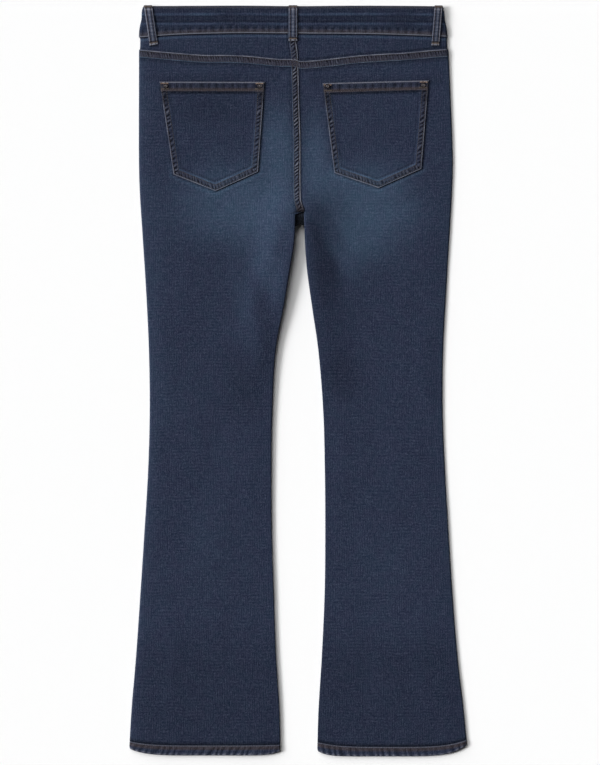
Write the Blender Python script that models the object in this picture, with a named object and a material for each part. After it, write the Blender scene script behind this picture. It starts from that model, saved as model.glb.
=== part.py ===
"""Bootcut jeans laid flat with the back up, each cut piece a closed wall of cloth.

X runs across the garment, with the wearer's left side at -X. Y runs up the garment to the waist, and Z
is up from the surface that it lies on. The origin is on that surface, under the middle of the outline.
Sizes are in millimetres, and MM turns them into metres when a mesh is made.
"""

import math
from collections import namedtuple

import bmesh
import bpy

MM = 0.001

# Driving dimensions
GAP = 0.3                 # play between neighbouring pieces
DENIM = 1.2               # one thickness of cloth
WAISTBAND_WALL = 2.3      # doubled cloth with its turnings
HEM_WALL = 1.9            # leg end turned up twice
HEM_PROUD = 0.8           # step from the leg up to its hem
ROLL = 2.4                # width of the roll at a side or inseam
FELL_WIDTH = 9.0          # width of the doubled cloth at a felled seam
FELL = 1.0                # how far a felled seam stands proud
FELL_STEP = 0.8           # it drops to the cloth beside it over this width

BACK_FACE = 4.8           # outer face of the back over the legs
SHOULDER = 1.4            # it sinks by this towards the side seams,
SHOULDER_AT_INSEAM = 0.2  # and by this towards the inseams,
SHOULDER_WIDTH = 9.0      # over a few of these widths
SHOULDER_AT_CROTCH = 60   # the inseams' share comes in over this height below the crotch
SIDE_LEVEL = 1.3          # where back and front meet at the side seams
INSEAM_LEVEL = 3.7        # and at the inseams, which are stiffer
BACK_LIFT = 2.9           # what the bulk of the waist adds to the back
FRONT_LIFT = 3.5          # the front rises off the surface towards the button
SEAM_LIFT = 2.0
LIFT_FALLS_FROM = 105     # the lifts fall from this far beside the centre towards the sides
LIFT_AT_SIDES = 0.2       # share of these lifts left at the sides
LIFT_STARTS = 330
LIFT_ENDS = 465

BACK_CROTCH = 241
FRONT_CROTCH = 224
CENTRE_FRONT = 3.0
CROTCH_BULK = 12.0        # how far the crossing seams at the crotch lift the cloth round them
BULK_HALF_WIDTH = 40
BULK_ABOVE = 38           # the lift dies away over these distances up and down the garment
BULK_BELOW = 180
BULK_FOOT = 80            # rows are closer together above this height
BULK_AT_SEAM = 0.95       # share of the lift at the inseam, and of the front layer
BULK_OF_FRONT = 0.92
YOKE_SEAM_MEAN = 470      # row that the yoke seam's curve is added to
YOKE_BAND = 10.8          # felled yoke seam, top line to bottom line
HEM_MEAN = -525           # row that the hem's curve is added to

HALF_WAIST = 222
SHOULDER_STATIONS = ((3, 0.1), (10, 0.3))     # distance in from a roll, and its limit in a narrow piece
MID_LEG = (70, 160)       # the nearer edge is the inseam below this distance from the centre
WAISTBAND_HEIGHT = 38
WAISTBAND_PROUD = 1.2     # step from the yoke up to the back waistband
FRONT_TOP = 516           # front waistband, upper edge at the centre
FRONT_TOP_RISE = 21       # how far that edge rises at the sides
FRONT_BAND_PROUD = 0.6

SCOOP_WIDTH = 100         # front pocket opening, across and down
SCOOP_BOTTOM = 410
SCOOP_RECESS = 0.5        # the facing lies this far behind the front
FRONT_ROW_TOP = FRONT_TOP - WAISTBAND_HEIGHT - GAP

LOOP_WALL = 1.6
LOOP_BOW = 0.7            # how far a belt loop stands off in the middle
LOOP_ABOVE = 1.1

POCKET_WALL = 1.3
POCKET_BORDER = 9.0       # doubled edge between the two stitch lines
POCKET_HEM = 13.6
POCKET_BORDER_WALL = 1.8
RIVET_RADIUS = 3.1
RIVET_HEIGHT = 1.3
STUD_RIM = 0.4            # rounding round a metal head
BUTTON_RADIUS = 8.5
BUTTON_HEIGHT = 3.5

# Side edges of the flat garment: height, left edge, right edge
SIDES = (
    (-541, -243.2, 243.9),
    (-474, -239.5, 238.1),
    (-387, -232.5, 228.8),
    (-301, -226.6, 221.9),
    (-215, -221.0, 216.6),
    (-128, -215.8, 211.5),
    (-42, -213.5, 208.1),
    (45, -214.7, 208.8),
    (131, -218.8, 213.3),
    (217, -224.3, 218.4),
    (272, -227.8, 221.4),
    (325, -229.1, 222.6),
    (450, -228.9, 217.3),
    (471, -228.8, 216.3),
    (478, -227.5, 214.9),
    (494.2, -227.4, 214.2),
    (494.5, -229.0, 214.8),      # the waistband overhangs the yoke by its turning
    (503, -228.6, 214.7),
    (512, -227.2, 212.8),
    (520, -225.5, 211.2),
    (530, -225.0, 210.4),
    (536, -223.8, 209.4),
    (541, -221.6, 208.8),
)

# Inner edges of the legs: height, left leg, right leg
INSEAMS = (
    (-541, -25.2, 27.6),
    (-474, -26.8, 29.6),
    (-387, -32.1, 34.7),
    (-301, -35.2, 38.4),
    (-215, -37.8, 39.2),
    (-128, -38.2, 38.6),
    (-42, -37.0, 36.2),
    (45, -32.0, 29.1),
    (110, -19.8, 19.7),
    (160, -11.6, 12.9),
    (200, -5.2, 9.9),
    (241, -2.9, 8.7),
)

# Centre-back seam, the edge of the upper lap: height, x
CENTRE_BACK = (
    (241, 4.4),
    (265, 3.3),
    (290, 2.9),
    (350, 2.8),
    (395, 2.0),
    (440, 0.9),
    (470, -0.2),
    (502, -4.9),
)

# Upper line of the felled yoke seam: x, height
YOKE_SEAM = (
    (-229, 477.0),
    (-184, 472.8),
    (-134, 469.0),
    (-100, 468.9),
    (-70, 467.4),
    (-30, 463.4),
    (-5, 462.7),
    (3, 460.3),
    (20, 460.9),
    (48, 463.7),
    (90, 468.4),
    (132, 471.1),
    (150, 472.1),
    (190, 475.8),
    (219, 478.0),
)

# Back waistband, upper edge and lower edge: x, height
WAIST_TOP = (
    (-222, 539.5),
    (-140, 539.6),
    (-80, 539.8),
    (0, 539.1),
    (80, 539.7),
    (140, 539.6),
    (222, 539.0),
)
WAIST_SEAM = (
    (-222, 494.5),
    (-210, 495.5),
    (-195, 496.7),
    (-175, 497.9),
    (-150, 498.8),
    (-120, 499.5),
    (-80, 500.1),
    (-40, 499.9),
    (0, 499.6),
    (20, 499.3),
    (90, 498.9),
    (130, 498.1),
    (160, 497.2),
    (190, 496.2),
    (210, 495.3),
    (222, 494.5),
)

# Leg ends: bottom edge and stitch line at mid leg, and how far each curves up at the side and inseam
Hem = namedtuple("Hem", "bottom bottom_side bottom_inseam line line_side line_inseam")
HEMS = {
    "left": Hem(-538.9, 9.5, 6.5, -524.5, 6.0, 1.0),
    "right": Hem(-540.2, 16.0, 8.0, -526.5, 10.0, 7.0),
}
BOTTOM_POWERS = (5, 9)    # how abruptly the bottom edge curves up at the side and at the inseam
LINE_POWERS = (4, 4)
HEM_ROUNDING = ((0.0, 1.2), (0.12, 0.5), (0.35, 0.1), (1.0, 0.0))   # share of the height, inset

# Back pocket corners: x and height
Pocket = namedtuple("Pocket", "top_left top_right low_right tip low_left")
POCKETS = {
    "left": Pocket((-199.1, 430.6), (-48.2, 430.2), (-57.5, 300.9), (-118.8, 273.1), (-179.1, 296.9)),
    "right": Pocket((35.5, 428.3), (188.0, 432.5), (177.6, 305.2), (115.6, 277.4), (52.1, 299.1)),
}
RIVETS = {
    "rivet_left_outer": (-190.8, 424.4),
    "rivet_left_inner": (-55.0, 424.4),
    "rivet_right_inner": (41.8, 424.0),
    "rivet_right_outer": (180.2, 425.6),
}

# Belt loops: layer, middle of the upper end, middle of the lower end, width, how far it reaches below
# the waistband, slope of its lower end, seam under the lower end
Loop = namedtuple("Loop", "layer x_top x_bottom width below slope over_seam")
LOOPS = {
    "belt_loop_back_left": Loop(1, -215.9, -207.4, 12.2, 12.3, 0.2, 0),
    "belt_loop_back_centre": Loop(1, -7.2, -7.2, 12.5, 10.7, 0, FELL),
    "belt_loop_back_right": Loop(1, 202.3, 197.6, 11.4, 13.3, 0, 0),
    "belt_loop_front_left": Loop(-1, -96.0, -98.0, 13.0, 11.5, 0, 0),
    "belt_loop_front_right": Loop(-1, 98.0, 100.0, 13.0, 11.5, 0, 0),
}

INDIGO = (0.024, 0.031, 0.058, 1)
FADED_INDIGO = (0.036, 0.050, 0.088, 1)
DARK_INDIGO = (0.019, 0.024, 0.045, 1)
OLD_BRASS = (0.30, 0.24, 0.17, 1)

Row = namedtuple("Row", "y_at left right roll_left roll_right raised")


def smooth_step(low, high, value):
    """Rise softly from 0 to 1 between two values."""
    t = min(max((value - low) / (high - low), 0), 1)
    return t * t * (3 - 2 * t)


def spread(low, high, count):
    """List evenly spaced values, both ends included."""
    return [low + (high - low) * i / (count - 1) for i in range(count)]


def read(table, key, column):
    """Read one column of a table at a key, on a smooth curve through its rows."""
    keys = [row[0] for row in table]
    values = [row[column] for row in table]
    key = min(max(key, keys[0]), keys[-1])
    i = max(n for n in range(len(keys) - 1) if keys[n] <= key)

    def slope(n):
        before = max(n - 1, 0)
        after = min(n + 1, len(keys) - 1)
        return (values[after] - values[before]) / (keys[after] - keys[before])

    span = keys[i + 1] - keys[i]
    t = (key - keys[i]) / span
    start = (1 + 2 * t) * (1 - t) ** 2 * values[i] + t * (1 - t) ** 2 * span * slope(i)
    end = t * t * (3 - 2 * t) * values[i + 1] - t * t * (1 - t) * span * slope(i + 1)
    return start + end


# Levels of the two layers

def lift(x, y):
    """Share of the waist's bulk that is felt at a point."""
    aside = smooth_step(LIFT_FALLS_FROM, HALF_WAIST, abs(x - CENTRE_FRONT))
    return smooth_step(LIFT_STARTS, LIFT_ENDS, y) * (1 - (1 - LIFT_AT_SIDES) * aside)


def shoulder(x, y):
    """How far the back's outer face has sunk beside the nearest seams at the legs' edges."""
    from_side = max(min(x - read(SIDES, y, 1), read(SIDES, y, 2) - x), 0)
    inseam = read(INSEAMS, y, 1) - x if x < CENTRE_FRONT else x - read(INSEAMS, y, 2)
    on_leg = smooth_step(0, SHOULDER_AT_CROTCH, BACK_CROTCH - y)
    at_inseam = SHOULDER_AT_INSEAM * on_leg * math.exp(-max(inseam, 0) / SHOULDER_WIDTH)
    return SHOULDER * math.exp(-from_side / SHOULDER_WIDTH) + at_inseam


def bulk(x, y):
    """How far the crossing seams at the crotch lift the cloth beside the seat seam and the inseams."""
    from_edge = max(read(INSEAMS, y, 1) - x, x - read(INSEAMS, y, 2), 0)
    reach = BULK_ABOVE if y > BACK_CROTCH else BULK_BELOW
    return CROTCH_BULK * math.exp(-(from_edge / BULK_HALF_WIDTH) ** 2 - ((y - BACK_CROTCH) / reach) ** 2)


def face(layer, x, y):
    """Level of a layer's outer face: layer 1 is the back, -1 the front."""
    if layer > 0:
        return BACK_FACE + BACK_LIFT * lift(x, y) + bulk(x, y) - shoulder(x, y)
    from_centre = smooth_step(FELL_WIDTH, 4 * FELL_WIDTH, abs(x - CENTRE_FRONT))
    over_fell = FELL * (1 - from_centre) * smooth_step(FRONT_CROTCH - 100, FRONT_CROTCH, y)
    return FRONT_LIFT * lift(x, y) + over_fell + BULK_OF_FRONT * bulk(x, y)


def seam_level(layer, x, y):
    """Level at which the back and the front meet at the nearest edge of a leg."""
    outwards = smooth_step(*MID_LEG, abs(x - CENTRE_FRONT))
    level = INSEAM_LEVEL + (SIDE_LEVEL - INSEAM_LEVEL) * outwards
    return level + SEAM_LIFT * lift(x, y) + BULK_AT_SEAM * bulk(x, y) + layer * GAP


# Edges

def waist_top(x):
    return read(WAIST_TOP, x, 1)


def waist_seam(x):
    return read(WAIST_SEAM, x, 1)


def front_top(x):
    return FRONT_TOP + FRONT_TOP_RISE * (x / HALF_WAIST) ** 2


def front_seam(x):
    return front_top(x) - WAISTBAND_HEIGHT


def hem_curve(side, x, middle, at_side, at_inseam, powers):
    """Height of a leg-end line: level in the middle, curving up to both edges."""
    column = 1 if side == "left" else 2
    edge = read(SIDES, HEM_MEAN, column)
    inner = read(INSEAMS, HEM_MEAN, column)
    t = min(max((x - edge) / (inner - edge), 0), 1)
    rise, power = (at_side, powers[0]) if t < 0.5 else (at_inseam, powers[1])
    return middle + rise * abs(2 * t - 1) ** power


def hem_bottom(side, x):
    hem = HEMS[side]
    return hem_curve(side, x, hem.bottom, hem.bottom_side, hem.bottom_inseam, BOTTOM_POWERS)


def hem_line(side, x):
    hem = HEMS[side]
    return hem_curve(side, x, hem.line, hem.line_side, hem.line_inseam, LINE_POWERS)


def scoop_width(y):
    """Width of the front pocket opening on a row, an ellipse's quarter."""
    t = (FRONT_ROW_TOP - y) / (FRONT_ROW_TOP - SCOOP_BOTTOM)
    return SCOOP_WIDTH * math.sqrt(max(1 - t * t, 0))


# Making a piece

def finish(bm, name, colour, roughness=0.9, metallic=0.0):
    """Turn a bmesh into an object with a material of its own."""
    mesh = bpy.data.meshes.new(name)
    bm.to_mesh(mesh)
    bm.free()
    material = bpy.data.materials.new(name)
    material.use_nodes = True
    shader = material.node_tree.nodes["Principled BSDF"]
    shader.inputs["Base Color"].default_value = colour
    shader.inputs["Roughness"].default_value = roughness
    shader.inputs["Metallic"].default_value = metallic
    mesh.materials.append(material)
    piece = bpy.data.objects.new(name, mesh)
    bpy.context.collection.objects.link(piece)
    return piece


def cloth_wall(name, colour, rows):
    """Lay a sheet through rows of (outer, inner) point pairs, then extrude it through its thickness."""
    bm = bmesh.new()
    station = bm.verts.layers.int.new("station")
    width = len(rows[0])
    pairs = [pair for row in rows for pair in row]
    for number, (outer, _) in enumerate(pairs):
        vert = bm.verts.new([MM * value for value in outer])
        vert[station] = number
    bm.verts.ensure_lookup_table()
    for row in range(len(rows) - 1):
        for column in range(width - 1):
            first = row * width + column
            corners = (first, first + 1, first + width + 1, first + width)
            bm.faces.new([bm.verts[number] for number in corners])
    wall = bmesh.ops.extrude_face_region(bm, geom=bm.faces[:])
    for element in wall["geom"]:
        if isinstance(element, bmesh.types.BMVert):
            inner = pairs[element[station]][1]
            element.co = [MM * value for value in inner]
    bmesh.ops.recalc_face_normals(bm, faces=bm.faces[:])
    return finish(bm, name, colour)


def rolled_edge(edge, inwards, roll, flat_width):
    """Stations from an edge to where its roll or its flat seam ends.

    Each station is the outer face's x, the inner face's x and the share of the layer's height.
    """
    width = ROLL if roll else flat_width
    stations = []
    for angle in (0, 30, 60, 90):
        run = 1 - math.cos(math.radians(angle))
        outer = edge + inwards * width * run
        rolled = edge + inwards * (DENIM + (width - DENIM) * run)
        share = 1 - roll * (1 - math.sin(math.radians(angle)))
        stations.append((outer, outer + roll * (rolled - outer), share))
    return stations


def layer_piece(name, colour, layer, rows, wall, proud=0.0, felled=None, between=8):
    """Make a piece of the back (layer 1) or front (layer -1) from its rows.

    A row runs from a left to a right edge, and each edge is rolled down to the side seam or left flat.
    A felled edge, left or right, carries a seam that stands proud wherever that edge is flat.
    """
    left_width = FELL_WIDTH if felled == "left" else ROLL
    right_width = FELL_WIDTH if felled == "right" else ROLL
    sections = []
    for row in rows:
        left = [station + (felled == "left",) for station in
                rolled_edge(row.left, 1, row.roll_left, left_width)]
        right = [station + (felled == "right",) for station in
                 rolled_edge(row.right, -1, row.roll_right, right_width)]
        start = left[-1][0]
        end = right[-1][0]
        if felled == "left":
            start += FELL_STEP
            left.append((start, start, 1.0, False))
        if felled == "right":
            end -= FELL_STEP
            right.append((end, end, 1.0, False))
        near, far = (min(step, share * (end - start)) for step, share in SHOULDER_STATIONS)
        flats = [start + near] + spread(start + far, end - far, between) + [end - near]
        middle = [(x, x, 1.0, False) for x in flats]
        flat = 1 - (row.roll_left if felled == "left" else row.roll_right)
        section = []
        for outer_x, inner_x, share, on_fell in left + middle + right[::-1]:
            y = row.y_at(outer_x)
            seam = seam_level(layer, outer_x, y)
            level = face(layer, outer_x, y) + layer * proud
            thick = max(FELL * row.raised, FELL * flat * on_fell)
            outer_z = seam + (level + layer * thick - seam) * share
            inner_z = seam + (level - layer * wall - seam) * share
            section.append(((outer_x, y, outer_z), (inner_x, y, inner_z)))
        sections.append(section)
    return cloth_wall(name, colour, sections)


# Pieces of the back

def leg_rows(side, top):
    """Rows of a leg from its hem up, both edges rolled, the lowest ones bending with the hem."""
    column = 1 if side == "left" else 2
    rows = []
    for base in spread(HEM_MEAN, BULK_FOOT, 17) + spread(BULK_FOOT, top, 9)[1:]:
        follow = 1 - smooth_step(HEM_MEAN, HEM_MEAN + 120, base)

        def y_at(x, base=base, follow=follow):
            return base + follow * (hem_line(side, x) + GAP - HEM_MEAN)

        edges = sorted((read(SIDES, base, column), read(INSEAMS, base, column)))
        rows.append(Row(y_at, edges[0], edges[1], 1, 1, 0))
    return rows


def back_panel(side):
    """Back leg panel: hem to yoke, with the felled seams that it carries."""
    rows = leg_rows(side, BACK_CROTCH - 2)
    band_edge = YOKE_SEAM_MEAN - YOKE_BAND
    seat = [(base, 0) for base in (BACK_CROTCH + 2, 254, 268, 284, 300, 320, 345, 370, 395, 420, 442)]
    seat += [(band_edge - FELL_STEP, 0), (band_edge, 1), (YOKE_SEAM_MEAN, 1)]
    for base, raised in seat:
        follow = smooth_step(LIFT_STARTS, band_edge - FELL_STEP, base)

        def y_at(x, base=base, follow=follow):
            return base + follow * (read(YOKE_SEAM, x, 1) - YOKE_SEAM_MEAN)

        centre = read(CENTRE_BACK, base, 1)
        if side == "left":
            edge = read(SIDES, y_at(-HALF_WAIST), 1)
            rows.append(Row(y_at, edge, centre, 1, 0, raised))
        else:
            edge = read(SIDES, y_at(HALF_WAIST), 2)
            rows.append(Row(y_at, centre + GAP, edge, 0, 1, raised))
    felled = "right" if side == "left" else None
    layer_piece("back_panel_" + side, FADED_INDIGO, 1, rows, DENIM, felled=felled)


def yoke(side):
    """Yoke between the felled seam and the waistband."""
    rows = []
    for share in spread(0, 1, 4):

        def y_at(x, share=share):
            low = read(YOKE_SEAM, x, 1) + GAP
            high = waist_seam(x) - GAP
            return low + share * (high - low)

        if side == "left":
            centre = read(CENTRE_BACK, y_at(0), 1)
            edge = read(SIDES, y_at(-HALF_WAIST), 1)
            rows.append(Row(y_at, edge, centre, 1, 0, 0))
        else:
            centre = read(CENTRE_BACK, y_at(0), 1) + GAP
            edge = read(SIDES, y_at(HALF_WAIST), 2)
            rows.append(Row(y_at, centre, edge, 0, 1, 0))
    felled = "right" if side == "left" else None
    layer_piece("yoke_" + side, INDIGO, 1, rows, DENIM, felled=felled)


def waistband_back():
    """Back half of the waistband, one straight doubled strip."""
    rows = []
    for share in spread(0, 1, 9):

        def y_at(x, share=share):
            return waist_seam(x) + share * (waist_top(x) - waist_seam(x))

        left = read(SIDES, y_at(-HALF_WAIST), 1)
        right = read(SIDES, y_at(HALF_WAIST), 2)
        rows.append(Row(y_at, left, right, 1, 1, 0))
    layer_piece("waistband_back", INDIGO, 1, rows, WAISTBAND_WALL, proud=WAISTBAND_PROUD, between=20)


def hem(side, layer, proud):
    """Turned-up leg end, back or front half, its bottom corners rounded."""
    column = 1 if side == "left" else 2
    outwards = -1 if side == "left" else 1
    rows = []
    for share, inset in HEM_ROUNDING:

        def y_at(x, share=share):
            return hem_bottom(side, x) + share * (hem_line(side, x) - hem_bottom(side, x))

        height = HEMS[side].bottom + share * (HEMS[side].line - HEMS[side].bottom)
        edge = read(SIDES, height, column) - outwards * inset
        inner = read(INSEAMS, height, column) + outwards * inset
        rows.append(Row(y_at, min(edge, inner), max(edge, inner), 1, 1, 0))
    name = ("hem_back_" if layer > 0 else "hem_front_") + side
    layer_piece(name, DARK_INDIGO, layer, rows, HEM_WALL, proud=proud)


def between_points(start, end, share):
    return [a + share * (b - a) for a, b in zip(start, end)]


def back_pocket(side):
    """Patch pocket laid on the back panel, thicker where its edges are turned in."""
    pocket = POCKETS[side]
    step = 0.6      # the thicker edge thins out over this width
    width = math.dist(pocket.top_left, pocket.top_right)
    height = math.dist(pocket.top_left, pocket.low_left)
    border = POCKET_BORDER / width
    inside = (POCKET_BORDER + step) / width
    across = [0, border, inside, 0.5, 1 - inside, 1 - border, 1]
    top = POCKET_HEM / height
    low = 1 - POCKET_BORDER / height
    down = [0, top, top + step / height, 0.3, 0.5, 0.7, low - step / height, low, 1]
    sections = []
    for v in down:
        section = []
        for u in across:
            upper = between_points(pocket.top_left, pocket.top_right, u)
            if u < 0.5:
                lower = between_points(pocket.low_left, pocket.tip, 2 * u)
            else:
                lower = between_points(pocket.tip, pocket.low_right, 2 * u - 1)
            x, y = between_points(upper, lower, v)
            bordered = v <= top or v >= low or u <= border or u >= 1 - border
            wall = POCKET_BORDER_WALL if bordered else POCKET_WALL
            level = face(1, x, y) + GAP
            section.append(((x, y, level + wall), (x, y, level)))
        sections.append(section)
    cloth_wall("back_pocket_" + side, INDIGO, sections)


def round_stud(name, x, y, low, radius, height):
    """Flat metal head, its rims rounded by a bevel."""
    bm = bmesh.new()
    bmesh.ops.create_cone(bm, cap_ends=True, segments=20, radius1=radius * MM, radius2=radius * MM,
                          depth=height * MM)
    stud = finish(bm, name, OLD_BRASS, roughness=0.45, metallic=1.0)
    stud.location = (x * MM, y * MM, (low + height / 2) * MM)
    rim = stud.modifiers.new("rim", "BEVEL")
    rim.width = STUD_RIM * MM
    rim.segments = 2
    rim.angle_limit = math.radians(40)
    stud.data.shade_smooth()
    stud.data.set_sharp_from_angle(angle=math.radians(35))


def belt_loop(name, loop):
    """Belt loop: a strip over the waistband, tacked down above and below it."""
    back = loop.layer > 0
    band_top = waist_top if back else front_top
    band_seam = waist_seam if back else front_seam
    proud = WAISTBAND_PROUD if back else FRONT_BAND_PROUD
    top = band_top(loop.x_top) + LOOP_ABOVE
    seam = band_seam(loop.x_bottom)
    bottom = seam - loop.below
    # height, standing off the cloth, on the waistband or below it
    rows = (
        (top, 0.0, proud),
        (top - 5, 0.0, proud),
        (top - 12, LOOP_BOW, proud),
        (seam + 10, LOOP_BOW, proud),
        (seam - GAP, 0.1, proud),
        (seam - 3, 0.0, loop.over_seam),
        (bottom, 0.0, loop.over_seam),
    )
    sections = []
    for y, bow, level in rows:
        middle = loop.x_bottom + (loop.x_top - loop.x_bottom) * (y - bottom) / (top - bottom)
        slope = loop.slope * (1 - smooth_step(bottom, seam, y))
        section = []
        for share, rounding in ((0, 0.5), (0.12, 0), (0.5, 0), (0.88, 0), (1, 0.5)):
            across = loop.width * (share - 0.5)
            x, height = middle + across, y + slope * across
            under = face(loop.layer, x, height) + loop.layer * (level + GAP + bow)
            outer = under + loop.layer * (LOOP_WALL - rounding)
            section.append(((x, height, outer), (x, height, under)))
        sections.append(section)
    cloth_wall(name, INDIGO, sections)


# Pieces of the front

def front_row(base):
    """Height of a front row at any x: it bends with the front waistband's seam near the top."""
    follow = smooth_step(LIFT_STARTS, FRONT_ROW_TOP, base)

    def y_at(x):
        return base + follow * (front_seam(x) - GAP - FRONT_ROW_TOP)

    return y_at


def front_panel(side):
    """Front leg panel: hem to waistband, its upper corner scooped for the pocket."""
    left_side = side == "left"
    column = 1 if left_side else 2
    outwards = -1 if left_side else 1
    rows = leg_rows(side, FRONT_CROTCH - 2)
    centre = CENTRE_FRONT + outwards * GAP / 2
    for base in (FRONT_CROTCH + 2, 238, 252, 268, 286, 310, 340, 365, 388, SCOOP_BOTTOM - 2,
                 SCOOP_BOTTOM + 2, 416, 424, 436, 450, 458.5, 466, 473.2, FRONT_ROW_TOP):
        y_at = front_row(base)
        edge = read(SIDES, y_at(outwards * HALF_WAIST), column)
        rolled = 1 if base < SCOOP_BOTTOM else 0
        if not rolled:
            edge -= outwards * scoop_width(base)
        if left_side:
            rows.append(Row(y_at, edge, centre, rolled, 0, 0))
        else:
            rows.append(Row(y_at, centre, edge, 0, rolled, 0))
    felled = "right" if left_side else None
    layer_piece("front_panel_" + side, INDIGO, -1, rows, DENIM, felled=felled)


def pocket_facing(side):
    """Side-front piece that shows in the scooped pocket opening."""
    left_side = side == "left"
    column = 1 if left_side else 2
    outwards = -1 if left_side else 1
    rows = []
    for base in (SCOOP_BOTTOM + 2, 416, 424, 436, 450, 458.5, 466, 473.2, FRONT_ROW_TOP):
        y_at = front_row(base)
        edge = read(SIDES, y_at(outwards * HALF_WAIST), column)
        inner = edge - outwards * (scoop_width(base) - GAP)
        if left_side:
            rows.append(Row(y_at, edge, inner, 1, 0, 0))
        else:
            rows.append(Row(y_at, inner, edge, 0, 1, 0))
    layer_piece("pocket_facing_" + side, DARK_INDIGO, -1, rows, DENIM, proud=-SCOOP_RECESS, between=5)


def waistband_front(side, end):
    """Front half of the waistband, from the side seam to its end at the fly."""
    left_side = side == "left"
    column = 1 if left_side else 2
    outwards = -1 if left_side else 1
    rows = []
    for share in spread(0, 1, 9):

        def y_at(x, share=share):
            return front_top(x) - (1 - share) * WAISTBAND_HEIGHT

        edge = read(SIDES, y_at(outwards * HALF_WAIST), column)
        if left_side:
            rows.append(Row(y_at, edge, end, 1, 0, 0))
        else:
            rows.append(Row(y_at, end, edge, 0, 1, 0))
    layer_piece("waistband_front_" + side, INDIGO, -1, rows, WAISTBAND_WALL, proud=FRONT_BAND_PROUD)


for leftover in list(bpy.data.objects):
    bpy.data.objects.remove(leftover, do_unlink=True)

for side in ("left", "right"):
    back_panel(side)
    yoke(side)
    back_pocket(side)
    hem(side, 1, proud=HEM_PROUD)
    front_panel(side)
    pocket_facing(side)
    hem(side, -1, proud=0.0)
waistband_back()

FLY_END = CENTRE_FRONT + 13      # the left waistband laps over the right one at the button
waistband_front("left", FLY_END)
waistband_front("right", FLY_END + GAP)

for name, loop in LOOPS.items():
    belt_loop(name, loop)

for name, (x, y) in RIVETS.items():
    round_stud(name, x, y, face(1, x, y) + POCKET_BORDER_WALL + 2 * GAP, RIVET_RADIUS, RIVET_HEIGHT)

round_stud("waist_button", CENTRE_FRONT + 1, FRONT_TOP - WAISTBAND_HEIGHT / 2, 0, BUTTON_RADIUS,
           BUTTON_HEIGHT)
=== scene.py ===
import math
from functools import partial

import bpy
import numpy as np
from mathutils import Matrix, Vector


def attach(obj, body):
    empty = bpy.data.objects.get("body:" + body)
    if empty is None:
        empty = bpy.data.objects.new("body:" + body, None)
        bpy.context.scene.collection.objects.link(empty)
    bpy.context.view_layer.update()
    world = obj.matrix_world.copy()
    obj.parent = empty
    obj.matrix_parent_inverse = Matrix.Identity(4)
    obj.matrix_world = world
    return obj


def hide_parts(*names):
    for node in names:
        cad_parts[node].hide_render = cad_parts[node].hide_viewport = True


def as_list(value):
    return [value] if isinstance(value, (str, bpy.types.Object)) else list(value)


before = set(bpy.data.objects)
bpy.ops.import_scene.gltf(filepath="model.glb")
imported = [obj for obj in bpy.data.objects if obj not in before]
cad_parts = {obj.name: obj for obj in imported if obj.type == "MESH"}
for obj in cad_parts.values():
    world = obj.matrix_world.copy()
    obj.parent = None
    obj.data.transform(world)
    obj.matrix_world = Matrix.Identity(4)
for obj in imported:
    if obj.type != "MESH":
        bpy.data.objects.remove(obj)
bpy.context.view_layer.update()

# Bootcut jeans in faded dark-blue denim, laid flat on a table with the back up.
# X runs across the garment, Y up it to the waist and Z up from the table. Sizes are in millimetres,
# and MM turns them into metres when a mesh is made.
MM = 0.001


# Table, light and camera. A plain white table top under a large soft lamp at the upper left and an
# even pale room, seen from straight above.

class Link:
    """One socket of a node tree. Sums written on it add Math nodes to the tree."""

    def __init__(self, tree, socket):
        self.tree = tree
        self.socket = socket

    def add(self, kind, settings, sockets, output=0):
        """Add any node: its settings first, then the values or links of its sockets."""
        node = self.tree.nodes.new(kind)
        for name, value in settings.items():
            setattr(node, name, value)
        for name, value in sockets.items():
            if isinstance(value, Link):
                self.tree.links.new(value.socket, node.inputs[name])
            else:
                node.inputs[name].default_value = value
        return Link(self.tree, node.outputs[output])

    def sum(self, operation, first, second=0.0):
        return self.add("ShaderNodeMath", {"operation": operation}, {0: first, 1: second})

    def __add__(self, other):
        return self.sum("ADD", self, other)

    def __sub__(self, other):
        return self.sum("SUBTRACT", self, other)

    def __rsub__(self, other):
        return self.sum("SUBTRACT", other, self)

    def __mul__(self, other):
        return self.sum("MULTIPLY", self, other)

    __radd__ = __add__
    __rmul__ = __mul__

    def rise(self, low, high):
        """Rise softly from 0 to 1 between two values."""
        return self.add("ShaderNodeMapRange", {"interpolation_type": "SMOOTHSTEP"},
                        {"Value": self, "From Min": low, "From Max": high})

    def noise(self, cycles, detail=2.0, roughness=0.5, stretch=(1, 1, 1)):
        """Noise of so many cycles a metre over these coordinates."""
        place = self.add("ShaderNodeMapping", {}, {"Vector": self, "Scale": stretch})
        return self.add("ShaderNodeTexNoise", {}, {"Vector": place, "Scale": cycles, "Detail": detail,
                                                   "Roughness": roughness})

    def vector(self, operation, first, second, output=0):
        return self.add("ShaderNodeVectorMath", {"operation": operation}, {0: first, 1: second}, output)

    def waves(self, direction):
        """Straight waves whose phase grows along a direction."""
        return self.sum("SINE", self.vector("DOT_PRODUCT", self, direction, 1))

    def mix(self, first, second):
        """Blend two colours with this as the share of the second."""
        return self.add("ShaderNodeMix", {"data_type": "RGBA"}, {0: self, 6: first, 7: second}, 2)


def new_material(name, **steady):
    """Make a material with its steady values set, and give it with its Object coordinates."""
    material = bpy.data.materials.new(name)
    material.use_nodes = True
    tree = material.node_tree
    for socket, value in steady.items():
        tree.nodes["Principled BSDF"].inputs[socket.replace("_", " ")].default_value = value
    return material, Link(tree, tree.nodes.new("ShaderNodeTexCoord").outputs["Object"])


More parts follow.
